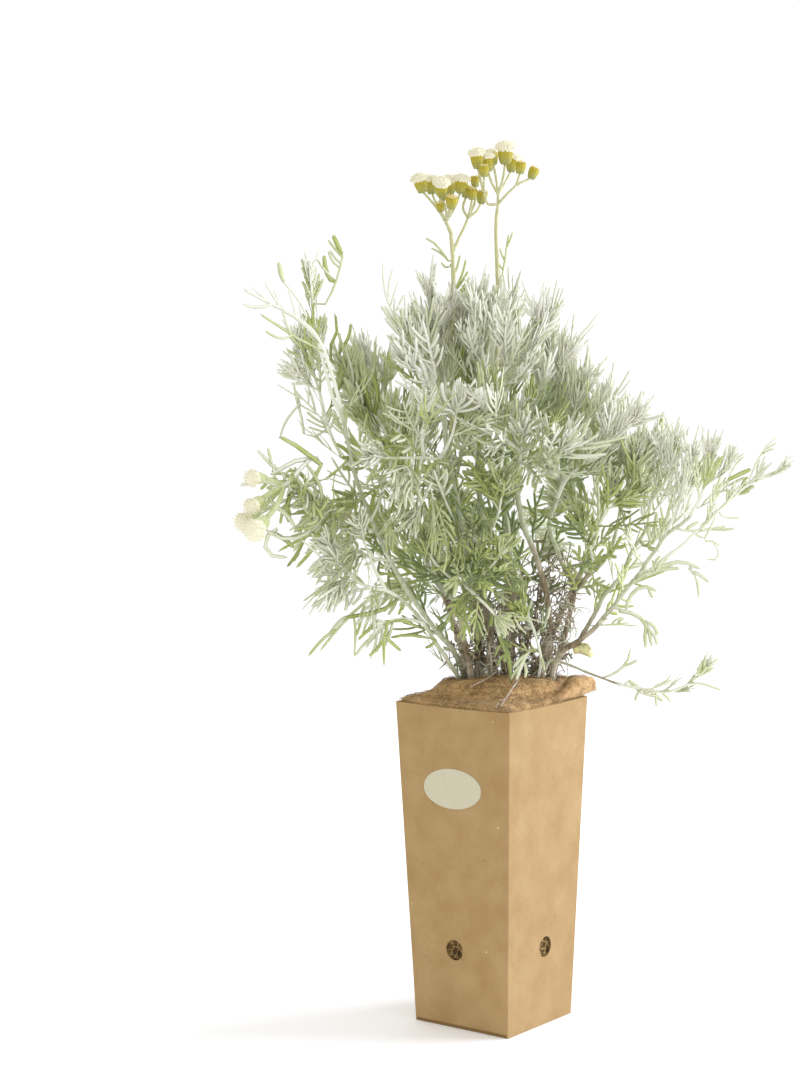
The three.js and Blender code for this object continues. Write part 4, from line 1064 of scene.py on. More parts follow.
# Each shoot has its look, its stems' routes, and the places of leaf tips that stand out from it.
# The look is the leaves' spacing (0 for none round the stem), length, lobe length and lobe width in
# millimetres, their age, the number of side tufts, the bare share of the stem, and how far the leaves
# droop and open.
SHOOTS = {
    "shoot_far_left": ((0, 40, 14, 2, 0.15, 0, 0.1, 0, 1), (
        "341 409 -62, 335 385 -64, 329 365 -66, 322 346 -68, 313 331 -70, 300 320 -72, 285 310 -74, "
        "270 304 -76",
    ), "243 289 -84, 243 304 -82, 262 283 -80, 280 263 -70, 260 314 -84"),
    "shoot_left_silver": ((10, 26, 13, 2.6, 0.1, 0, 0.45, 0, 0.5), (
        "344 424 -60, 332 395 -50, 324 365 -42, 318 340 -38, 313 310 -36, 311 285 -36",
    ), "334 236 -30, 317 258 -34"),
    "shoot_left_column": ((8, 36, 17, 2.2, 0.2, 1, 0.3, 0.25, 0.8), (
        "353 468 -56, 342 455 -44, 333 440 -36, 326 420 -30, 321 398 -26, 314 375 -24, 305 355 -24",
    ), "293 381 -30, 280 437 -44"),
    "shoot_left_green": ((7, 36, 18, 2.8, 0.5, 2, 0.2, 0.1, 0.9), (
        "395 492 -25, 391 465 -16, 387 440 -12, 379 421 -10, 366 409 -10, 355 398 -10, 349 382 -10",
    ), "351 323 -8"),
    "shoot_left_peak": ((7, 38, 20, 2.4, 0.1, 2, 0.25, 0, 0.8), (
        "404 511 -27, 400 480 -4, 392 448 12, 382 420 20, 373 394 24, 367 372 26",
    ), "388 351 20"),
    "shoot_left_rosette": ((8, 44, 21, 2.4, 0.2, 1, 0.2, 0.55, 1.2), (
        "392 487 -24, 384 480 -36, 376 474 -48, 365 468 -60",
        "384 480 -36, 382 494 -54, 377 508 -66, 370 522 -72",
    ), ""),
    "shoot_level_left": ((8.5, 44, 21, 2.4, 0.2, 1, 0.12, 0.6, 1.2), (
        "450 466 -28, 438 460 -46, 424 458 -62, 405 458 -76, 385 458 -88",
        "438 460 -46, 434 474 -62, 428 490 -72, 420 506 -76",
        "424 458 -62, 422 442 -70, 424 424 -74",
        "438 460 -46, 446 448 -58, 453 432 -64, 456 416 -66",
    ), ""),
    "shoot_low_left": ((8.5, 40, 20, 2.3, 0.3, 1, 0.12, 1, 1.1), (
        "398 597 -57, 386 590 -64, 372 588 -70, 358 582 -76, 346 571 -80, 336 556 -82",
        "386 590 -64, 377 574 -68, 370 558 -72, 364 540 -76",
    ), "317 560 -90, 333 590 -88"),
    "shoot_hanging_left": ((16, 24, 12, 2.3, 0.35, 0, 0.4, 1, 0.8), (
        "424 624 -42, 412 620 -54, 398 619 -64, 386 622 -70",
    ), "384 667 -74, 358 640 -80, 401 651 -64, 345 618 -86"),
    "shoot_left_spread": ((8, 42, 20, 2.4, 0.4, 2, 0.15, 0.8, 1.1), (
        "376 530 -49, 366 532 -30, 354 530 -14, 340 524 0, 326 515 10",
    ), ""),
    "shoot_top_left": ((6, 30, 16, 2.4, -0.05, 2, 0.15, 0, 0.65), (
        "442 409 -38, 434 392 -42, 424 372 -45, 412 350 -47, 402 328 -48, 395 310 -49",
        "434 392 -42, 430 362 -34, 421 335 -28, 414 312 -26",
    ), "383 261 -46"),
    "shoot_top_peak": ((5.5, 29, 15, 2.3, -0.05, 2, 0.1, 0, 0.65), (
        "444 420 -36, 446 392 -24, 443 360 -16, 438 332 -14, 433 308 -14",
    ), "427 276 -14"),
    "shoot_top_beside_stalk": ((5.5, 33, 17, 2.3, 0.05, 3, 0.1, 0, 0.7), (
        "478 462 -11, 471 430 -2, 465 398 4, 463 364 6, 463 335 6",
    ), "461 299 6"),
    "shoot_top_middle": ((5.5, 31, 16, 2.3, 0.05, 3, 0.1, 0, 0.7), (
        "487 389 -22, 484 365 -24, 480 340 -24, 477 315 -24",
        "485 372 -23, 489 345 -12, 490 318 -8",
    ), "475 280 -22"),
    "shoot_top_behind_stalk": ((5.5, 32, 16, 2.3, 0.1, 3, 0.1, 0, 0.7), (
        "500 426 18, 504 400 24, 508 372 26, 510 344 26, 510 320 26",
    ), "510 296 24"),
    "shoot_top_slanting": ((5.5, 33, 17, 2.3, 0, 3, 0.1, 0, 0.7), (
        "487 408 -20, 494 390 -32, 505 371 -40, 517 357 -46, 530 344 -50, 541 331 -52",
    ), "536 300 -48"),
    "shoot_top_right_a": ((5.5, 35, 17, 2.3, 0.15, 3, 0.1, 0, 0.7), (
        "562 473 0, 563 445 14, 560 415 24, 556 386 30, 552 362 32",
    ), "550 334 32"),
    "shoot_top_right_b": ((5.5, 34, 17, 2.3, 0.05, 3, 0.1, 0, 0.7), (
        "514 435 -18, 524 420 -20, 537 405 -20, 549 388 -20, 560 368 -20",
    ), "578 331 -18"),
    "shoot_top_right_c": ((5.5, 33, 16, 2.3, 0.05, 2, 0.1, 0, 0.7), (
        "561 459 0, 566 438 -10, 574 415 -16, 582 395 -18",
    ), "592 374 -18"),
    "shoot_right_crown": ((5.5, 35, 17, 2.2, 0.1, 3, 0.1, 0, 0.7), (
        "622 499 -10, 613 472 -4, 606 446 4, 603 420 8",
    ), "618 386 8"),
    "shoot_right_slanting": ((5.5, 27, 14, 2.2, 0, 2, 0.1, 0, 0.7), (
        "557 498 -1, 566 480 -16, 580 467 -28, 598 452 -38, 616 437 -44, 630 426 -48",
    ), "646 417 -50"),
    "shoot_right_green": ((5.5, 34, 17, 2.4, 0.35, 2, 0.1, 0.15, 0.75), (
        "618 522 -9, 624 500 -22, 629 480 -28, 634 464 -32",
    ), "645 444 -34"),
    "shoot_right_high": ((6, 26, 14, 2.2, 0.05, 2, 0.08, 0, 0.75), (
        "648 526 -20, 651 502 -16, 655 478 -14, 657 458 -14",
        "651 502 -16, 664 484 -26, 672 462 -30",
    ), "652 430 -12, 673 425 -30"),
    "shoot_right_brush": ((6.5, 24, 13, 2.2, 0.1, 1, 0.05, 0, 0.75), (
        "666 535 -64, 676 512 -60, 684 490 -58, 690 470 -58",
        "690 516 -72, 699 500 -74, 705 482 -76, 709 466 -76",
    ), "691 443 -56, 711 443 -76"),
    "shoot_right_long": ((13, 24, 9, 2.4, 0.15, 0, 0.03, 0, 0.7), (
        "640 573 -52, 650 570 -60, 660 562 -66, 672 553 -71, 683 545 -75, 695 533 -79, 705 525 -82, "
        "722 507 -86, 735 496 -89, 745 487 -91, 760 480 -93, 775 474 -95",
    ), "789 468 -98, 772 437 -94, 745 457 -88, 783 466 -104"),
    "shoot_right_low": ((0, 24, 10, 2.2, 0.4, 0, 0.3, 1, 0.8), (
        "613 607 -38, 622 610 -50, 632 613 -58, 641 618 -64",
    ), "652 647 -70, 650 588 -60"),
    "shoot_right_inside": ((8, 34, 17, 2.3, 0.4, 1, 0.25, 0.35, 1), (
        "592 572 4, 592 556 -14, 588 540 -28, 582 524 -38",
        "588 540 -28, 598 526 -34, 606 510 -38, 610 494 -40",
    ), ""),
    "shoot_trailing": ((9, 20, 10, 2.2, 0.05, 0, 0.12, 0, 0.9), (
        "618 684 -52, 631 687 -58, 643 689 -62, 655 691 -66, 668 692 -70, 680 688 -73, 692 682 -76, "
        "700 674 -78",
    ), "717 658 -80, 722 690 -84, 656 705 -64"),
    "shoot_new_pale": ((10, 24, 12, 2.2, 0.3, 1, 0.5, 0.3, 0.9), (
        "root, 535 692 -5, 539 674 -9, 541 661 -16, 537 640 -25, 531 622 -29, 526 610 -31, 522 598 -33",
    ), "513 677 -34"),
    "shoot_front_centre": ((7.5, 44, 21, 2.5, 0.15, 2, 0.12, 0.5, 1.1), (
        "483 552 2, 480 546 -16, 476 541 -34, 473 536 -50",
        "480 546 -16, 490 532 -30, 498 514 -40, 502 494 -46",
        "476 541 -34, 464 530 -48, 452 515 -56, 444 498 -60",
    ), ""),
    "shoot_front_right": ((7.5, 42, 21, 2.5, 0, 2, 0.12, 0.3, 1.1), (
        "517 470 -18, 520 462 -34, 521 450 -50, 522 438 -62",
        "520 462 -34, 532 466 -46, 545 464 -56, 558 454 -62",
        "521 450 -50, 509 442 -62, 497 430 -68, 488 416 -70",
    ), ""),
    "shoot_front_low": ((9.5, 30, 16, 2.3, 0.3, 0, 0.1, 0.35, 1.1), (
        "474 595 -6, 468 590 -24, 464 583 -42, 461 576 -56",
        "468 590 -24, 454 580 -44, 440 568 -56, 428 552 -62",
        "464 583 -42, 476 578 -56, 488 570 -64, 498 558 -68",
        "468 590 -24, 460 602 -40, 451 612 -50, 443 620 -56",
        "464 583 -42, 474 594 -54, 485 604 -60, 494 614 -62",
    ), ""),
    "shoot_back_left": ((6, 38, 18, 2.4, 0.25, 3, 0.1, 0, 0.9), (
        "424 511 86, 414 480 92, 402 450 98, 392 425 100",
        "414 480 92, 424 450 106, 430 420 112, 432 392 112",
    ), ""),
    "shoot_back_left_low": ((6.5, 42, 19, 2.6, 0.4, 3, 0.1, 0.5, 0.9), (
        "446 600 56, 428 584 76, 410 566 92, 394 545 104, 382 522 110",
        "428 584 76, 436 564 90, 446 540 96, 454 514 98",
    ), ""),
    "shoot_back_mid": ((6, 38, 18, 2.4, 0.25, 3, 0.1, 0, 0.9), (
        "504 501 112, 496 470 116, 486 440 116, 478 410 112, 474 380 106",
        "504 501 112, 514 468 124, 524 436 128, 530 405 126",
        "504 501 112, 492 512 122, 480 530 128, 470 550 130",
        "504 501 112, 520 506 120, 536 522 124, 546 540 124",
    ), ""),
    "shoot_back_right": ((6, 36, 17, 2.4, 0.25, 3, 0.1, 0, 0.9), (
        "604 511 96, 610 482 100, 612 455 100, 610 430 96",
        "604 511 96, 622 494 104, 638 478 106, 650 462 104",
        "604 511 96, 590 500 106, 574 492 112, 560 478 114",
    ), ""),
}
# Blades that stand clear of the bush, each with its width in millimetres, its age and its route.
BLADES = {
    "shoot_far_left": (
        (2.6, 0.05, "320 342 -69, 303 323 -72, 287 312 -74, 272 304 -77, 258 297 -81, 243 289 -84"),
        (2.3, 0.1, "273 304 -77, 262 307 -80, 252 307 -82, 243 304 -84"),
        (1.8, 0.05, "268 302 -78, 262 296 -79, 252 287 -82"),
        (1.9, 0.05, "282 310 -75, 274 297 -76, 265 283 -78"),
        (1.6, 0.1, "284 310 -75, 279 302 -75, 274 290 -76"),
        (1.6, 0.15, "296 317 -73, 292 300 -72, 288 288 -71"),
        (1.8, 0.2, "308 322 -72, 301 304 -70, 290 289 -70, 281 279 -70"),
        (3.4, 0.55, "284 282 -70, 281 274 -70, 279 262 -68"),
        (2.1, 0.6, "324 352 -68, 311 345 -70, 303 341 -72, 291 335 -74, 283 328 -76, 272 322 -79, "
         "260 314 -82"),
        (1.9, 0.5, "292 335 -74, 286 338 -77, 278 338 -79, 265 331 -83"),
        (1.9, 0.4, "291 334 -74, 287 325 -76, 285 318 -77, 282 311 -78"),
    ),
    "shoot_left_silver": (
        (1.7, 0.5, "326 304 -33, 331 294 -32, 336 282 -31, 340 268 -30, 343 259 -30, 342 251 -30"),
        (1.7, 0.5, "337 281 -31, 326 272 -33, 317 259 -34"),
        (3.3, 0.8, "332 282 -31, 326 270 -31, 324 255 -31"),
        (1.7, 0.5, "340 268 -30, 333 262 -30, 328 251 -30"),
        (1.7, 0.5, "341 264 -30, 335 258 -30, 330 250 -30"),
        (2, 0.6, "343 258 -30, 336 250 -30, 328 240 -30"),
        (3.4, 0.85, "342 254 -30, 338 246 -30, 333 235 -30"),
    ),
    "shoot_left_green": (
        (2.4, 0.9, "328 352 -10, 334 340 -10, 338 325 -9, 334 313 -8"),
        (1.6, 0.3, "349 382 -10, 342 368 -10, 336 352 -9, 333 338 -9"),
        (2.4, 0.85, "336 358 -9, 343 347 -9, 349 336 -9, 351 323 -8"),
        (1.4, 0.6, "340 352 -9, 340 342 -9, 340 333 -9"),
        (4.6, 0.9, "372 414 -10, 368 400 -11, 364 388 -12, 360 378 -12"),
        (3.8, 0.85, "374 416 -10, 378 398 -11, 376 384 -12, 370 372 -12"),
    ),
    "shoot_left_peak": (
        (4.2, 0.45, "372 392 24, 366 376 24, 362 362 23, 362 349 22"),
        (3, 0.5, "376 384 22, 374 370 21, 373 351 20"),
        (2.6, 0.7, "392 378 18, 390 364 18, 388 350 18"),
    ),
    "shoot_left_column": (
        (1.9, 0.35, "306 440 -28, 303 424 -28, 299 408 -29, 295 394 -30, 293 380 -30"),
        (1.4, 0.4, "300 412 -28, 299 402 -28, 298 392 -28"),
        (1.8, 0.3, "303 400 -30, 290 415 -34, 283 427 -38, 280 438 -42"),
    ),
    "shoot_top_left": (
        (1.5, 0.2, "403 328 -47, 397 320 -47, 389 305 -47, 384 286 -46, 383 261 -46"),
        (1.3, 0.3, "388 298 -46, 389 283 -46, 393 268 -46"),
        (1.3, 0.3, "390 306 -46, 393 297 -46, 398 282 -46"),
        (1.4, 0.3, "394 315 -46, 399 305 -46, 404 294 -46"),
        (1.4, 0.3, "395 316 -46, 394 308 -46, 395 298 -46"),
    ),
    "shoot_hanging_left": (
        (2.3, 0.85, "423 631 -50, 414 624 -58, 402 620 -64, 388 621 -70, 384 630 -72, 384 648 -74, "
         "384 667 -74"),
        (2.6, 0.85, "388 621 -70, 376 625 -74, 366 632 -78, 358 640 -80"),
        (2.3, 0.85, "384 640 -73, 378 648 -75, 369 656 -78"),
        (2.5, 0.85, "385 636 -73, 391 642 -70, 401 651 -66"),
        (3.2, 1, "398 598 -60, 390 606 -68, 376 612 -76, 360 615 -82, 345 618 -86"),
        (2.3, 0.95, "430 638 -50, 418 636 -54, 408 635 -58, 398 636 -62, 390 638 -64"),
        (2.3, 0.95, "436 640 -46, 432 645 -48, 425 648 -50"),
    ),
    "shoot_right_low": (
        (3.2, 0.5, "613 610 -44, 632 613 -58, 641 618 -64, 648 627 -66, 652 647 -70"),
        (2.9, 0.5, "645 621 -65, 654 626 -66, 658 635 -68"),
        (2.7, 0.5, "648 628 -67, 655 636 -68, 657 645 -70"),
        (2.7, 0.6, "646 626 -66, 645 636 -68, 646 648 -70"),
        (2.9, 0.5, "628 600 -54, 636 590 -58, 642 587 -60, 650 587 -60, 657 592 -62"),
        (2.6, 0.5, "648 587 -60, 650 592 -60, 653 598 -61"),
    ),
    "shoot_right_long": (
        (3, 0.45, "634 582 -56, 642 576 -58, 650 572 -61, 665 569 -66, 681 568 -70"),
        (3, 0.4, "650 572 -61, 662 566 -66, 672 563 -70, 684 562 -74, 701 569 -78"),
        (3, 0.35, "689 571 -74, 699 574 -77, 709 582 -80"),
        (2.4, 0.35, "694 572 -76, 698 584 -77, 699 598 -78"),
        (1.4, 0.4, "726 490 -88, 729 478 -90, 736 464 -92, 745 456 -94"),
        (3, 0.75, "728 480 -90, 740 474 -92, 751 469 -94"),
        (1.7, 0.5, "728 486 -90, 735 482 -90, 745 477 -91"),
        (1.6, 0.5, "712 494 -84, 717 486 -84, 721 475 -84"),
        (1.2, 0.35, "748 484 -92, 756 463 -94, 765 449 -95, 772 440 -95, 779 436 -95"),
        (1.4, 0.4, "766 449 -95, 771 446 -95, 777 443 -95"),
        (1.6, 0.4, "763 454 -95, 769 450 -95, 775 449 -95"),
        (1.3, 0.4, "758 478 -94, 770 474 -95, 780 469 -97, 789 466 -98"),
        (1.4, 0.4, "722 516 -86, 731 518 -86, 740 518 -87"),
        (1.5, 0.4, "707 534 -82, 711 526 -83, 716 517 -84"),
        (1.5, 0.4, "704 541 -80, 712 541 -81, 721 546 -82"),
        (1.4, 0.4, "712 540 -80, 719 552 -80, 716 560 -80, 707 559 -80"),
    ),
    "shoot_trailing": (
        (3, 0.4, "625 680 -56, 640 688 -60, 656 696 -63, 664 702 -64"),
        (2.1, 0.4, "602 678 -46, 611 675 -50, 621 669 -53, 628 660 -55, 631 648 -56"),
        (2.1, 0.4, "625 666 -54, 632 663 -56, 638 660 -58"),
        (2, 0.45, "640 688 -60, 637 695 -60, 635 701 -60"),
        (2, 0.45, "656 692 -66, 656 700 -66, 657 707 -66"),
        (2, 0.45, "662 693 -67, 668 698 -68, 671 702 -68"),
        (1.9, 0.5, "700 674 -78, 705 664 -79, 706 655 -79"),
        (1.9, 0.5, "700 674 -78, 710 667 -80, 718 658 -80"),
        (1.9, 0.45, "690 683 -77, 704 684 -80, 712 687 -82, 722 690 -84"),
    ),
    "shoot_new_pale": (
        (3.2, 0.45, "538 650 -20, 531 650 -24, 525 656 -28, 520 668 -31, 516 681 -34"),
        (2.7, 0.5, "526 654 -28, 519 660 -30, 513 668 -32"),
        (2.5, 0.5, "522 660 -29, 526 668 -30, 525 678 -32"),
        (2.1, 0.55, "521 664 -30, 515 672 -32, 511 679 -33"),
        (3, 1, "495 615 -20, 500 635 -24, 507 650 -27, 510 665 -30, 511 682 -32"),
        (1.9, 0.95, "503 643 -25, 498 648 -27, 495 656 -28"),
        (1.9, 0.95, "507 652 -27, 500 659 -29, 498 666 -30"),
        (2.1, 0.55, "540 655 -18, 543 662 -19, 544 671 -20"),
    ),
    "flower_stalk_left": (
        (1.7, 0.6, "451 264 -2, 445 256 -3, 438 247 -4, 433 242 -4, 425 238 -4"),
        (1.5, 0.65, "446 258 -3, 439 252 -3, 431 248 -4"),
        (1.4, 0.65, "450 267 -2, 445 267 -3, 441 262 -4"),
        (1.8, 0.75, "452 296 -2, 458 284 0, 463 272 1, 466 259 2"),
        (1.8, 0.8, "456 290 0, 463 280 1, 468 271 2"),
        (1.8, 0.8, "454 298 -1, 462 289 1, 470 277 2"),
        (2, 0.85, "452 302 -1, 460 295 1, 467 286 2"),
        (1.7, 0.75, "453 276 -2, 457 268 0, 460 255 1"),
    ),
    "flower_stalk_right": (
        (1.5, 0.6, "498 284 0, 502 276 0, 504 265 0, 506 254 0, 507 243 0, 509 233 0"),
        (1.5, 0.65, "505 261 0, 502 255 0, 500 248 0"),
        (1.5, 0.65, "503 270 0, 500 266 0, 498 262 0"),
        (1.5, 0.65, "507 247 0, 510 240 0, 513 232 0"),
    ),
    "flower_branch_drooping": (
        (3.4, 0.75, "322 466 -84, 310 456 -86, 298 447 -88, 288 440 -90, 278 437 -90"),
        (2.4, 0.4, "284 474 -92, 271 465 -94, 264 457 -94, 257 450 -94"),
        (2.2, 0.4, "272 464 -94, 270 457 -94, 268 448 -94"),
        (3.2, 0.1, "322 458 -80, 310 459 -84, 298 460 -88, 284 467 -92, 270 475 -94"),
        (3.4, 0.05, "312 458 -84, 300 469 -90, 292 479 -94, 284 486 -96, 270 489 -98"),
        (2.8, 0.1, "280 487 -96, 268 482 -98, 255 481 -99, 240 486 -100"),
        (3, 0.5, "292 470 -88, 297 480 -90, 302 491 -92, 303 503 -92"),
        (3, 0.4, "270 500 -98, 278 508 -100, 287 515 -98, 291 521 -96, 295 527 -94"),
        (3.2, 0.3, "312 526 -86, 305 535 -90, 288 539 -96, 275 536 -98, 265 529 -98"),
        (3, 0.3, "280 528 -96, 271 532 -98, 265 541 -99, 266 550 -98, 274 557 -96, 288 557 -94"),
        (3.2, 1, "272 532 -94, 279 536 -95, 287 541 -95, 294 548 -94"),
        (4.2, 0.8, "318 503 -84, 309 493 -88, 300 487 -91, 288 483 -94, 278 482 -96"),
        (2.4, 0.5, "298 484 -94, 309 489 -92, 316 500 -90, 312 515 -90, 298 527 -92"),
        (2.6, 0.55, "308 466 -86, 316 478 -88, 322 492 -88, 320 508 -86"),
        (2.6, 0.35, "326 512 -80, 318 524 -84, 306 534 -86, 296 536 -88"),
    ),
    "shoot_level_left": (
        (3.2, -0.2, "453 411 -66, 444 409 -71, 434 404 -74, 426 394 -76"),
        (3.2, -0.2, "453 410 -66, 446 401 -71, 442 392 -74, 442 382 -76"),
        (3.4, -0.2, "454 409 -66, 453 398 -71, 455 388 -74, 459 378 -76"),
        (3.2, -0.2, "455 409 -66, 463 401 -71, 466 392 -74, 464 383 -76"),
        (3.2, -0.2, "455 410 -66, 465 406 -71, 473 399 -74, 477 388 -76"),
        (2.6, -0.1, "455 411 -66, 466 411 -71, 478 407 -74, 487 398 -76"),
        (2.6, 0, "452 412 -66, 438 414 -70, 424 408 -74, 413 390 -76"),
    ),
}

stem_points = [point for _, _, routes in STEMS.values() for _, way in routes
               for point in spline(points_of(way), 4 * MM)]


def carried(way, own):
    """A leaf's line through its places. If neither end is on what carries it, the nearer end goes on
    until it is. The line then carries leaves itself."""
    points = points_of(way)
    nearest = [min(own + stem_points, key=lambda point: (point - end).length)
               for end in (points[0], points[-1])]
    gaps = [(nearest[0] - points[0]).length, (nearest[1] - points[-1]).length]
    if min(gaps) > 2 * MM:
        points = points + [nearest[1]] if gaps[1] < 0.4 * gaps[0] else [nearest[0]] + points
    line = spline(points, 4 * MM)
    own += line
    return line



# Leaves that turn their face to the front, each with its lobes a side, the lobes' length and width in
# millimetres, its age and its route.
LEAVES = {
    "shoot_front_low": (
        (3, 10, 2.6, 1.1, "462 592 -30, 452 612 -36, 440 634 -40"),
        (3, 9, 2.4, 1, "470 604 -26, 476 622 -30, 486 640 -32"),
        (3, 9, 2.4, 0.7, "474 590 -30, 486 580 -38, 500 574 -42"),
        (3, 9, 2.4, 0.8, "462 600 -28, 466 620 -34, 462 642 -38"),
        (3, 9, 2.2, 0.5, "480 588 -30, 496 592 -38, 510 602 -42"),
        (3, 8, 2.2, 0.75, "463 596 -50, 455 606 -54, 446 624 -58"),
        (2, 10, 3.4, 0.6, "468 556 -60, 490 541 -66, 512 533 -70"),
        (2, 9, 3.2, 0.65, "470 561 -60, 490 553 -66, 512 549 -68"),
        (2, 9, 3, 0.6, "462 566 -60, 456 580 -64, 444 592 -66"),
        (2, 9, 2.8, 0.7, "474 572 -58, 484 584 -62, 494 592 -64"),
    ),
    "shoot_new_pale": (
        (3, 8, 3, 0.9, "490 604 -18, 498 632 -24, 507 655 -28, 512 682 -32"),
        (2, 8, 2.8, 0.15, "530 618 -24, 524 600 -28, 514 588 -32"),
        (2, 8, 2.6, 0.15, "533 628 -22, 522 616 -28, 512 612 -32"),
        (2, 8, 2.4, 0.25, "536 636 -20, 546 622 -24, 550 606 -26"),
    ),
    "shoot_low_left": (
        (3, 13, 2.5, 0.55, "372 588 -70, 352 592 -78, 334 606 -84"),
        (3, 13, 2.5, 0.6, "386 590 -64, 374 604 -72, 366 624 -78"),
        (2, 11, 2.6, 0.85, "358 582 -76, 348 586 -84, 341 600 -88"),
        (3, 12, 2.3, 0.45, "346 571 -80, 330 574 -86, 318 566 -90"),
        (3, 12, 2.2, 0.35, "400 560 -50, 384 560 -64, 366 556 -74"),
        (3, 12, 2.4, 0.4, "352 576 -78, 338 560 -84, 326 545 -88"),
    ),
    "shoot_left_spread": (
        (3, 12, 2.4, 0.4, "340 524 0, 328 534 -8, 318 548 -12"),
        (3, 12, 2.4, 0.5, "354 530 -14, 346 544 -24, 334 556 -30"),
        (3, 12, 2.2, 0.3, "326 515 10, 316 522 2, 310 536 -4"),
    ),
    "shoot_right_inside": (
        (3, 10, 2.2, 0.8, "592 572 2, 582 560 -8, 572 549 -14"),
        (3, 10, 2.2, 0.8, "590 574 0, 596 560 -12, 604 548 -18"),
        (3, 10, 2.2, 0.8, "577 590 4, 570 574 -6, 562 562 -10"),
        (3, 10, 2.2, 0.75, "579 588 4, 592 586 -8, 606 580 -14"),
        (2, 9, 2.6, 0.9, "604 560 -4, 612 552 -12, 622 536 -18"),
    ),
    "shoot_right_high": (
        (2, 9, 3.2, 0.85, "648 548 -34, 654 532 -38, 657 512 -42"),
        (2, 9, 3, 0.85, "652 544 -36, 662 528 -40, 670 512 -42"),
    ),
    "shoot_top_peak": (
        (4, 14, 2.2, 0.35, "438 396 -50, 420 376 -56, 407 344 -58"),
        (4, 14, 2.2, 0.3, "436 382 -50, 430 350 -54, 422 318 -54"),
        (3, 14, 2.2, 0.4, "438 400 -50, 416 392 -58, 394 380 -62"),
    ),
    "shoot_level_left": (
        (3, 14, 3, 0.35, "452 486 -20, 446 468 -30, 444 446 -38"),
        (3, 14, 3, 0.3, "458 470 -20, 462 450 -32, 470 432 -40"),
        (3, 13, 2.8, 0.45, "446 500 -20, 436 486 -32, 430 468 -40"),
    ),
    "shoot_front_centre": (
        (3, 14, 2.8, 0.1, "508 420 -10, 504 402 -18, 500 382 -24"),
        (3, 14, 2.8, 0.15, "512 430 -10, 520 410 -18, 524 390 -24"),
    ),
    "shoot_back_mid": (
        (3, 13, 2.4, 1.1, "520 560 24, 512 540 26, 508 512 28"),
        (3, 13, 2.4, 1.1, "528 580 24, 540 556 24, 548 528 24"),
        (3, 12, 2.4, 1.2, "522 600 22, 514 584 24, 506 566 24"),
        (3, 13, 2.3, 1, "532 540 26, 536 516 26, 534 490 26"),
        (3, 12, 2.3, 1.2, "540 604 20, 548 590 22, 556 574 24"),
        (3, 12, 2.3, 1, "548 560 24, 556 540 24, 566 520 24"),
        (3, 12, 2.3, 1.1, "480 622 16, 486 606 18, 492 588 20"),
        (3, 12, 2.3, 1.2, "508 640 14, 504 622 16, 502 604 18"),
    ),
}
# The stem that a shoot continues, and the height in millimetres above which the stem's own leaves, old
# and green, still hang on with the shoot's.
LEAFY_STEMS = {
    "shoot_left_column": ("stem_tall_left", 243), "shoot_left_rosette": ("stem_mid_left", 284),
    "shoot_top_left": ("stem_centre_left", 310), "shoot_top_middle": ("stem_centre", 293),
    "shoot_top_behind_stalk": ("stem_centre_right", 300), "shoot_top_right_b": ("stem_inner_right", 400),
    "shoot_right_inside": ("stem_right_inner", 385), "shoot_right_long": ("stem_right_fork", 284),
    "shoot_back_left": ("stem_back_left", 296), "shoot_back_mid": ("stem_back_mid", 300),
    "shoot_back_right": ("stem_back_right", 296),
}

# How much older or younger than its neighbours a leaf looks.
LEAF_AGES = (-0.2, -0.1, 0.0, 0.05, 0.15, 0.4)
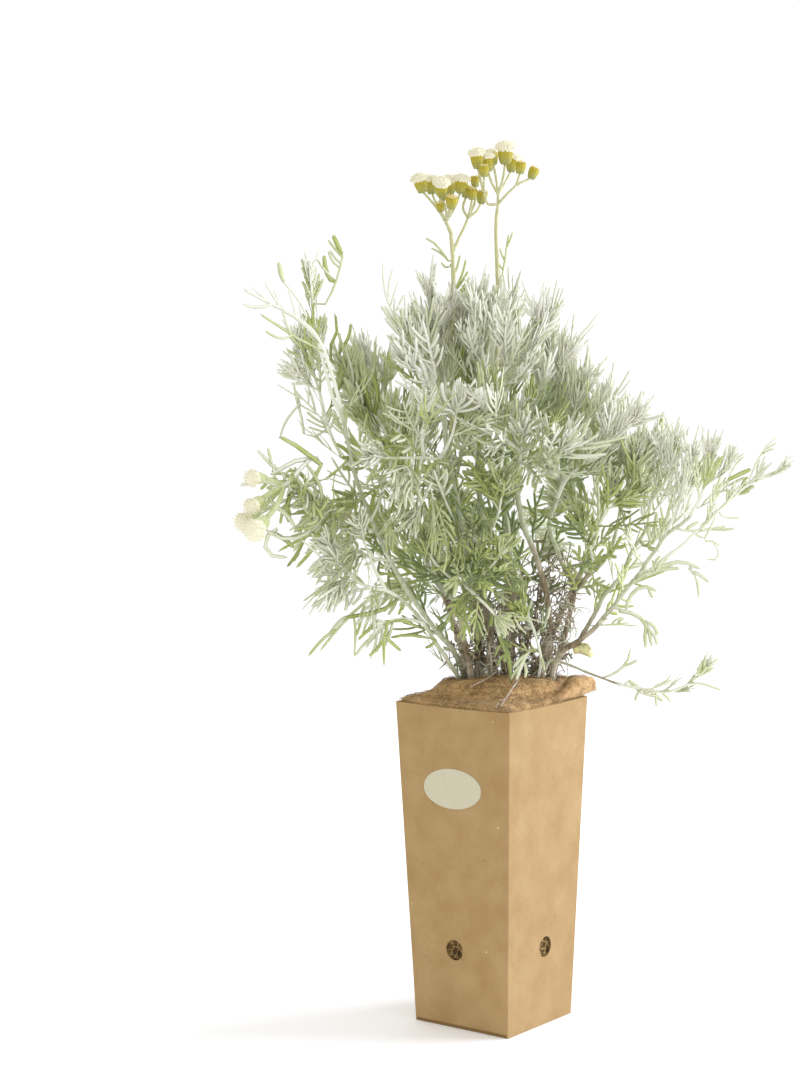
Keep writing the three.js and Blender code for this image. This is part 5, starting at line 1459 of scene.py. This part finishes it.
# Where on the soil the new shoot's root is, across the view and away from the eye.
NEW_SHOOT_ROOT = (29, -4)
felt = leaf_felt()
for number, (name, (look, ways, tips)) in enumerate(SHOOTS.items()):
    spacing, leaf_length, lobe, width, old, tufts, bare, droop, opened = look
    # The far part of the shoot at the top left carries only single blades.
    leafy_to = 0.68 if name == "shoot_top_left" else 1.0
    width *= MM
    rng = random.Random(100 + number)
    skin = Skin()
    lines = []
    for way in ways:
        # One new shoot comes up from the soil; its route starts with its root.
        points = [stem_root(*NEW_SHOOT_ROOT)] * way.startswith("root")
        line = spline(points + points_of(way.removeprefix("root, ")), 4 * MM)
        lines.append(along_line(line))
        add_tube(skin, line, (1.5 * MM, 0.8 * MM), sides=7, age=old * 0.4)
        reach = sum((b - a).length for a, b in zip(line, line[1:]))
        count = round(reach * (leafy_to - bare) / (spacing * MM)) if spacing else 0
        place = lines[-1]
        for i in range(count):
            young = (i + 0.5) / count
            share = bare + (leafy_to - bare) * young
            opening = opened * (1.05 - 0.75 * young) * rng.uniform(0.75, 1.25) + 0.3 * droop
            length = leaf_length * MM * (1.05 - 0.55 * young ** 2) * rng.uniform(0.8, 1.15)
            add_leaf_round(skin, place, share, i * GOLDEN_TURN + len(lines), opening, length,
                           rng.choice((3, 3, 4, 4)), lobe * MM * rng.uniform(0.85, 1.15),
                           width * rng.uniform(0.9, 1.1), rng,
                           old + 0.42 * (1 - young) + rng.choice(LEAF_AGES), droop)
        for i in range(tufts):
            share = bare + (leafy_to - bare) * (i + 0.7) / tufts * 0.85
            add_tuft(skin, place, share, i * GOLDEN_TURN * 1.5 + 2, leaf_length, width, rng,
                     old + rng.uniform(0.0, 0.3), droop)
        # The growing tip: small leaves, close and upright.
        for i in range(5 if spacing else 0):
            add_leaf_round(skin, place, leafy_to, i * GOLDEN_TURN, opened * rng.uniform(0.1, 0.4),
                           rng.uniform(0.28, 0.5) * leaf_length * MM, 3, lobe * 0.6 * MM, width * 0.9,
                           rng, old - 0.1, droop * 0.5)
    if name in LEAFY_STEMS:
        stem, lowest = LEAFY_STEMS[name]
        for _, way in STEMS[stem][2]:
            line = [point for point in spline(points_of(way), 4 * MM) if point.z > lowest * MM]
            if len(line) < 3:
                continue
            place = along_line(line)
            count = round(sum((b - a).length for a, b in zip(line, line[1:])) / (STEM_LEAF_SPACING * MM))
            for i in range(count):
                share = (i + 0.5) / count
                add_leaf_round(skin, place, share, i * GOLDEN_TURN + 1, rng.uniform(0.6, 1.2),
                               rng.uniform(24, 40) * MM, rng.choice((2, 3, 3)), rng.uniform(10, 17) * MM,
                               rng.uniform(1.9, 2.6) * MM, rng,
                               0.75 - 0.4 * share + rng.uniform(-0.15, 0.2), rng.uniform(0, 0.5))
    own = [place(k / 40) for place in lines for k in range(41)]
    for pairs, reach, broad, age, way in LEAVES.get(name, ()):
        line = carried(way, own)
        # Leaves that face the front get only half the painted shade of the bush's middle.
        add_leaf(skin, along_line(line), (eye_place - line[0]).normalized(), pairs, reach * MM,
                 broad * MM, rng, age - SHADE_GREEN * 0.5, rise=0)
    for goal in points_of(tips) if tips and name not in BLADES else ():
        foot = min((place(k / 20) for place in lines for k in range(6, 21)),
                   key=lambda point: (point - goal).length)
        heading = goal - foot
        length = heading.length
        heading.normalize()
        bend = any_way(rng) * 0.05
        add_leaf(skin, blade_way(foot, heading - bend, bend, length), (eye_place - foot).normalized(),
                 4, lobe * MM, width * 0.9, rng, old)
    for broad, age, way in BLADES.get(name, ()):
        line = carried(way, own)
        add_blade(skin, along_line(line), (eye_place - line[0]).normalized(), broad * MM, age, rings=6)
    make_piece(name.replace("shoot", "leafy_shoot"), skin, [felt], name)

# Two flower stalks stand well above the leaves, and a third has arched down at the left. Each ends in
# loose heads: a ribbed yellow-green cup of bracts that holds a dome of small cream tube flowers.
STALK_OLIVE = "#BCB982"
STALK_FELT = "#CCCCA8"
CUP_GREEN = "#96901E"
CUP_YELLOW = "#BFAA26"
CUP_FELT = "#A0A264"
FLORET_CREAM = "#EEEAD2"
FLORET_SHADE = "#E3DEC0"
BUD_YELLOW = "#D2BE5C"
CUP_RADIUS = 4.0 * MM
CUP_LENGTH = 8.0 * MM
RIBS = 11
FELTED_CUP_AGE = 0.62
# The materials of a flower piece, in the order of its slots.
CUP, FLORET, STALK, LEAF_FELT = range(4)
# Each stalk or cluster has its radius at both ends, its route, and its heads: a pedicel's route, the
# head's size, and how far it is open.
FLOWERS = {
    "flower_stalk_left": {
        "radius": (2, 1.5),
        "way": "448 455 -30, 452 425 -8, 452 390 -2, 451 350 -2, 451 315 -2, 453 290 -2, 453 262 -2, "
            "451 232 -2",
        "fork": "453 252 -2, 459 238 0, 464 228 2, 468 218 4",
        "pedicels": (
            ("468 218 4, 463 208 10, 466 197 14", 0.95, 0.15),
            ("468 218 4, 471 206 -4, 472 199 -6", 0.9, 0.1),
            ("468 218 4, 477 211 8, 481 203 12", 1, 0.3),
            ("468 218 4, 475 202 18, 475 186 24", 0.85, 0.05),
        ),
    },
    "corymb_left": {
        "radius": (1.5, 1),
        "way": "451 233 -2, 446 222 -4, 440 212 -6",
        "pedicels": (
            ("440 212 -6, 431 201 -8, 423 192 -10", 1.15, 0.9),
            ("440 212 -6, 435 201 0, 432 193 4", 1.1, 0.9),
            ("440 212 -6, 440 202 -12, 441 196 -18", 1.15, 1),
            ("446 222 -4, 450 207 8, 450 194 12", 1.15, 0.95),
            ("446 222 -4, 455 207 -4, 460 193 -6", 1.15, 0.85),
            ("446 222 -4, 449 214 -16, 451 208 -22", 1.05, 0.12),
            ("444 219 -5, 443 215 -14, 441 211 -17", 0.75, 0.1),
            ("446 222 -4, 446 210 12, 443 200 18", 0.85, 0.6),
        ),
    },
    "flower_stalk_right": {
        "radius": (1.9, 1.4),
        "way": "501 440 19, 498 410 8, 496 380 2, 497 340 0, 498 300 0, 497 260 0, 496 230 0, "
            "497 212 0",
    },
    "corymb_right": {
        "radius": (1.4, 1),
        "way": "497 213 0, 498 204 0, 498 194 0",
        "pedicels": (
            ("498 204 0, 488 204 -2, 484 192 -4, 480 178 -6, 478 168 -6", 1.2, 0.9),
            ("484 192 -4, 484 184 -12, 484 176 -14", 0.9, 0.1),
            ("498 194 0, 491 181 -2, 488 171 -2", 1.2, 0.85),
            ("498 194 0, 503 178 0, 505 164 0", 1.35, 1),
            ("498 194 0, 505 183 12, 511 171 18", 1.1, 0.85),
            ("498 204 0, 508 193 -4, 516 185 -6, 520 173 -8", 0.95, 0.1),
            ("516 185 -6, 525 181 -4, 531 178 -2", 0.95, 0.1),
            ("498 194 0, 496 178 14, 493 164 20", 1.05, 0.6),
        ),
    },
    "flower_branch_drooping": {
        "radius": (2, 1.4),
        "way": "369 513 -52, 358 516 -60, 345 513 -68, 330 511 -76, 318 508 -82, 312 496 -86, "
            "300 487 -90, 285 485 -94",
        "pedicels": (
            ("300 487 -90, 281 484 -95, 264 478 -98", 1.05, 0.9),
            ("285 485 -94, 272 492 -98, 262 499 -100", 1.05, 0.9),
            ("285 485 -94, 270 500 -90, 257 512 -88", 1.25, 1),
            ("285 485 -94, 277 505 -104, 266 519 -108", 1.4, 1),
        ),
    },
}

def stalk_felt():
    """A flower stalk under thin felt: olive yellow, paler where the felt is thick."""
    material, shader = new_material("felted_flower_stalk", Roughness=0.75, Specular_IOR_Level=0.3,
                                    Sheen_Weight=0.2)
    place = add_node(material, "ShaderNodeTexCoord").outputs["Object"]
    drawn_out = add_node(material, "ShaderNodeMapping", {"Vector": place, "Scale": (1.0, 1.0, 0.2)})
    streaks = add_node(material, "ShaderNodeTexNoise", {
        "Vector": drawn_out.outputs[0], "Scale": 1 / (1.2 * MM), "Detail": 3.0})
    streaky = add_node(material, "ShaderNodeMapRange", {
        "Value": streaks.outputs["Fac"], 1: 0.4, 2: 0.62})
    tint = mix_colours(material, streaky.outputs[0], linear(STALK_OLIVE), linear(STALK_FELT))
    wear(material, shader, tint, streaks.outputs["Fac"], 0.2 * MM)
    return material


def bract_cup():
    """The cup's bracts: waxy yellow-green at the mouth, under grey-green felt towards the foot."""
    material, shader = new_material("ribbed_bract_cup", Roughness=0.6, Specular_IOR_Level=0.35)
    place = add_node(material, "ShaderNodeTexCoord").outputs["Object"]
    age = add_node(material, "ShaderNodeAttribute", attribute_name="age")
    blush = add_node(material, "ShaderNodeTexNoise", {
        "Vector": place, "Scale": 1 / (3 * MM), "Detail": 3.0})
    yellow = mix_colours(material, blush.outputs["Fac"], linear(CUP_GREEN), linear(CUP_YELLOW))
    tint = mix_colours(material, age.outputs["Fac"], yellow, linear(CUP_FELT))
    wear(material, shader, tint, blush.outputs["Fac"], 0.15 * MM)
    return material


def cream_floret():
    """Tube flowers: thin, soft and cream, and yellow while they are in bud."""
    material, shader = new_material("cream_floret", Roughness=0.6, Specular_IOR_Level=0.3,
                                    Sheen_Weight=0.15)
    place = add_node(material, "ShaderNodeTexCoord").outputs["Object"]
    age = add_node(material, "ShaderNodeAttribute", attribute_name="age")
    powder = add_node(material, "ShaderNodeTexNoise", {
        "Vector": place, "Scale": 1 / (0.8 * MM), "Detail": 3.0})
    cream = mix_colours(material, powder.outputs["Fac"], linear(FLORET_SHADE), linear(FLORET_CREAM))
    tint = mix_colours(material, age.outputs["Fac"], cream, linear(BUD_YELLOW))
    wear(material, shader, tint, powder.outputs["Fac"], 0.1 * MM)
    return material


def upright(lean):
    """A turn that stands +Z along a direction."""
    return UP.rotation_difference(lean).to_matrix()


def add_floret(skin, foot, lean, reach, spread, age, rng):
    """A tube flower: a slim tube that opens into five turned-back points, with its anthers showing."""
    turn = upright(lean) @ Matrix.Rotation(rng.uniform(0, 6.28), 3, "Z")
    rings = []
    for height, inner, outer in ((0.0, 0.5, 0.5), (0.5, 0.65, 0.7), (1.0, 0.75, 1.35)):
        ring = []
        for i in range(10):
            angle = 2 * math.pi * i / 10
            size = (outer if i % 2 else inner) * spread * MM
            ring.append(foot + turn @ Vector((size * math.cos(angle), size * math.sin(angle),
                                              height * reach)))
        rings.append(ring)
    crest = foot + turn @ Vector((0, 0, reach * 1.12))
    rings.append([crest + (point - crest) * 0.4 for point in rings[-1]])
    add_rings(skin, rings, age=age, paint=FLORET)
    top = foot + turn @ Vector((0.35 * MM, 0, reach + rng.uniform(0.6, 1.5) * MM))
    add_tube(skin, [foot + lean * reach * 0.7, foot + lean * reach, top], (0.4 * MM, 0.22 * MM), sides=5,
             age=age, paint=FLORET)


def add_head(skin, foot, lean, size, open_share, rng, felted_cup=False):
    """A flower head: a bell-shaped cup on its pedicel, flat-topped in bud or open in a dome of florets.
    A young one has its cup under leaf felt, and a rounder dome with its anthers standing out."""
    cup_paint = LEAF_FELT if felted_cup else CUP
    turn = upright(lean) @ Matrix.Rotation(rng.uniform(0, 6.28), 3, "Z")
    sides = RIBS * 4
    length = CUP_LENGTH * size
    mouth = 1.04 if open_share > 0.4 else 0.9
    first = len(skin.points)
    rings = []
    cup_ages = []
    for height, wide in ((0.0, 0.3), (0.03, 0.5), (0.12, 0.68), (0.3, 0.82), (0.55, 0.92), (0.8, 0.98),
                         (1.0, mouth), (0.97, mouth * 0.8)):
        ring = []
        for i in range(sides):
            angle = 2 * math.pi * i / sides
            rib = 1 + 0.045 * math.cos(RIBS * angle) * min(1.0, height * 5)
            reach = CUP_RADIUS * size * wide * rib
            tooth = 0.06 * length * math.cos(RIBS * angle) if height >= 0.97 else 0
            ring.append(foot + turn @ Vector((reach * math.cos(angle), reach * math.sin(angle),
                                              height * length + tooth)))
            cup_ages.append(0.9 - 1.2 * height - 0.14 * math.cos(RIBS * angle))
        rings.append(ring)
    add_rings(skin, rings, paint=cup_paint)
    for i, age in enumerate(cup_ages):
        skin.ages[first + i] = FELTED_CUP_AGE if felted_cup else min(1.0, max(0.0, age))
    # A few short outer bracts stand at the cup's foot.
    for i in range(5):
        angle = i * 2 * math.pi / 5 + rng.uniform(-0.3, 0.3)
        out = turn @ Vector((math.cos(angle), math.sin(angle), 0))
        start = foot + out * CUP_RADIUS * size * 0.5
        tip = start + lean * length * rng.uniform(0.25, 0.4) + out * CUP_RADIUS * 0.3
        add_tube(skin, [start, start.lerp(tip, 0.5) + out * 0.3 * MM, tip], (0.5 * MM, 0.15 * MM),
                 sides=4, age=0.8, paint=cup_paint)
    # The florets stand so close that their tubes make one solid mound, with the open mouths on it.
    in_bud = 0.0 if felted_cup else max(0.0, 0.9 - 1.6 * open_share)
    mound = (0.5 + (7.0 if felted_cup else 4.2) * open_share) * MM * size
    broad = CUP_RADIUS * size * (mouth * 0.84 + 0.46 * open_share)
    rings = []
    for height, wide in ((-0.3, 0.7), (0.0, 0.86), (0.3, 1.0), (0.62, 0.88), (0.88, 0.55), (1.0, 0.2)):
        ring = []
        for i in range(24):
            angle = 2 * math.pi * i / 24
            reach = broad * wide * (1 + 0.05 * math.cos(7 * angle + 9 * height))
            ring.append(foot + turn @ Vector((reach * math.cos(angle), reach * math.sin(angle),
                                              length * 0.96 + height * mound)))
        rings.append(ring)
    add_rings(skin, rings, age=in_bud, paint=FLORET)
    count = round(52 * open_share) + 12
    for i in range(count):
        share = math.sqrt((i + 0.5) / count)
        angle = i * GOLDEN_TURN
        out = turn @ Vector((math.cos(angle), math.sin(angle), 0))
        flare = share * (0.15 + 1.1 * open_share)
        sway = Vector((rng.uniform(-1, 1), rng.uniform(-1, 1), 0)) * 0.1
        tilt = (lean + out * flare + sway).normalized()
        rise = math.cos(share * 1.45)
        start = foot + lean * (length * 0.96 + 0.86 * mound * rise)
        start += out * (broad * 0.9 * math.sin(share * 1.5))
        reach = (0.35 + 0.5 * open_share) * MM * size * rng.uniform(0.8, 1.3)
        add_floret(skin, start, tilt, reach, 0.55 + 0.4 * open_share, in_bud, rng)
        if felted_cup:
            anther = start + tilt * rng.uniform(2.2, 3.8) * MM
            add_tube(skin, [start, start.lerp(anther, 0.5), anther], (0.3 * MM, 0.16 * MM), sides=4,
                     paint=FLORET)


stalk = stalk_felt()
cup = bract_cup()
floret = cream_floret()
for number, (name, spray) in enumerate(FLOWERS.items()):
    rng = random.Random(300 + number)
    drooping = name == "flower_branch_drooping"
    skin = Skin()
    main = spline(points_of(spray["way"]), 4 * MM)
    start, end = spray["radius"]
    add_tube(skin, main, (start * MM, end * MM), sides=10, rough=0.12, paint=STALK)
    if "fork" in spray:
        add_tube(skin, spline(points_of(spray["fork"]), 3 * MM), (1.2 * MM, 0.9 * MM), sides=8,
                 rough=0.1, paint=STALK)
    for way, size, open_share in spray.get("pedicels", ()):
        line = spline(points_of(way), 3 * MM)
        if drooping:
            # Its heads are young: cups and stalks are thick, pale and under felt as the leaves are.
            add_tube(skin, line, (1.5 * MM, 2.0 * MM), sides=8, age=0.6, paint=LEAF_FELT)
        else:
            add_tube(skin, line, (1.05 * MM, 0.85 * MM), sides=7, rough=0.1, paint=STALK)
        lean = (line[-1] - line[-2]).normalized()
        if drooping:
            lean = (lean + part_turn @ Vector((-0.45, -1.0, -0.3))).normalized()
        else:
            lean = (lean + UP * 1.5).normalized()
        add_head(skin, line[-1] - lean * 0.5 * MM, lean, size, open_share, rng, drooping)
    first = len(skin.faces)
    own = list(main)
    for width, age, way in BLADES.get(name, ()):
        line = carried(way, own)
        add_blade(skin, along_line(line), (eye_place - line[0]).normalized(), width * MM, age, rings=6)
    if drooping:
        place = along_line(main)
        # Most of its leaves have curled up, each a grey ribbon that winds off on its own.
        for i in range(46):
            share = 0.15 + 0.83 * i / 46
            way = [place(share)]
            heading = (any_way(rng) - UP * 0.3).normalized()
            axis = any_way(rng).normalized()
            step = rng.uniform(3.2, 6.5) * MM
            for _ in range(6):
                way.append(way[-1] + heading * step)
                heading = Matrix.Rotation(rng.uniform(0.3, 0.75), 3, axis) @ heading
            add_blade(skin, along_line(spline(way, 2 * MM)), any_way(rng).normalized(),
                      rng.uniform(1.7, 2.8) * MM, rng.uniform(0.15, 0.9), rings=12)
        for i in range(22):
            add_leaf_round(skin, place, 0.08 + 0.9 * i / 22, i * GOLDEN_TURN, rng.uniform(0.6, 1.5),
                           rng.uniform(18, 32) * MM, 3, rng.uniform(9, 14) * MM, 2.5 * MM, rng,
                           rng.uniform(0.25, 0.95), rng.uniform(0.5, 1.5))
    skin.paints[first:] = [LEAF_FELT] * (len(skin.paints) - first)
    make_piece("cream_" + name, skin, [cup, floret, stalk, felt], name, flat_paint=FLORET)

# A small leaf has turned yellow in the shade at the foot of the right stems. It has a broad blade with
# three short lobes, dull and browner in blotches.
LEAF_YELLOW = "#EDE8AE"
LEAF_BROWN = "#DCD08E"


def yellowed_blade():
    """A leaf that has dried in the shade: dull yellow, brown where it is thin."""
    material, shader = new_material("yellowed_leaf_blade", Roughness=0.75, Specular_IOR_Level=0.3)
    place = add_node(material, "ShaderNodeTexCoord").outputs["Object"]
    blotches = add_node(material, "ShaderNodeTexNoise", {
        "Vector": place, "Scale": 1 / (3.5 * MM), "Detail": 4.0, "Roughness": 0.6})
    blotched = add_node(material, "ShaderNodeMapRange", {
        "Value": blotches.outputs["Fac"], 1: 0.48, 2: 0.66})
    tint = mix_colours(material, blotched.outputs[0], linear(LEAF_YELLOW), linear(LEAF_BROWN))
    wear(material, shader, tint, blotches.outputs["Fac"], 0.2 * MM)
    return material


skin = Skin()
foot, middle, tip = at(573, 650, -14), at(582, 648, -20), at(590, 653, -26)
line = spline([foot, middle, tip], 2 * MM)
add_blade(skin, along_line(line), (eye_place - foot).normalized(), 8.5 * MM, 1.0, rings=8)
for share, across, reach in ((0.45, -1, 5), (0.6, 1, 6), (0.75, -1, 6)):
    start = along_line(line)(share)
    side = part_turn @ Vector((0.7, -0.2, across * 0.6 - 0.2))
    add_blade(skin, along_line([start, start + side * reach * 0.5 * MM, start + side * reach * MM]),
              (eye_place - foot).normalized(), 4.5 * MM, 1.0, rings=5)
make_piece("yellowed_small_leaf", skin, [yellowed_blade()], "yellowed_leaf")

# The floor is a plain white sweep, lit by a soft white sky and one large soft light from the right.
FLOOR_RADIUS = 9.0
FLOOR_SIDES = 96
FLOOR_WHITE = "#FCFCFB"
FLOOR_MOTTLE = "#FEFEFD"
SKY_STRENGTH = 1.06
LIGHT_SIZE = 1.6
LIGHT_WATTS = 60
LIGHT_TINT = (0.98, 1.02, 1.25)
LIGHT_PLACE = part_turn @ Vector((2.2, 0.35, 1.2))
LIGHT_AIM = Vector((0, 0, 0.3))
material, shader = new_material("matt_white_paper_sweep", Roughness=0.95, Specular_IOR_Level=0.1)
place = add_node(material, "ShaderNodeTexCoord").outputs["Object"]
paper = add_node(material, "ShaderNodeTexNoise", {"Vector": place, "Scale": 3.0, "Detail": 2.0})
tint = mix_colours(material, paper.outputs["Fac"], linear(FLOOR_WHITE), linear(FLOOR_MOTTLE))
material.node_tree.links.new(tint, shader.inputs["Base Color"])
mesh = bpy.data.meshes.new("floor")
floor_turns = [2 * math.pi * i / FLOOR_SIDES for i in range(FLOOR_SIDES)]
corners = [(FLOOR_RADIUS * math.cos(turn), FLOOR_RADIUS * math.sin(turn), 0) for turn in floor_turns]
mesh.from_pydata(corners, [], [tuple(range(FLOOR_SIDES))])
mesh.materials.append(material)
floor = bpy.data.objects.new("floor", mesh)
bpy.context.scene.collection.objects.link(floor)

sky = bpy.data.worlds.new("studio")
sky.use_nodes = True
sky.node_tree.nodes["Background"].inputs["Color"].default_value = (1.0, 1.0, 1.0, 1.0)
sky.node_tree.nodes["Background"].inputs["Strength"].default_value = SKY_STRENGTH
bpy.context.scene.world = sky

light_data = bpy.data.lights.new("soft_box", "AREA")
light_data.shape = "RECTANGLE"
light_data.size = LIGHT_SIZE
light_data.size_y = LIGHT_SIZE
light_data.energy = LIGHT_WATTS
light_data.color = LIGHT_TINT
light = bpy.data.objects.new("soft_box", light_data)
light.location = LIGHT_PLACE
light.rotation_euler = (LIGHT_AIM - light.location).to_track_quat("-Z", "Y").to_euler()
bpy.context.scene.collection.objects.link(light)
bpy.context.scene.view_settings.view_transform = "Standard"
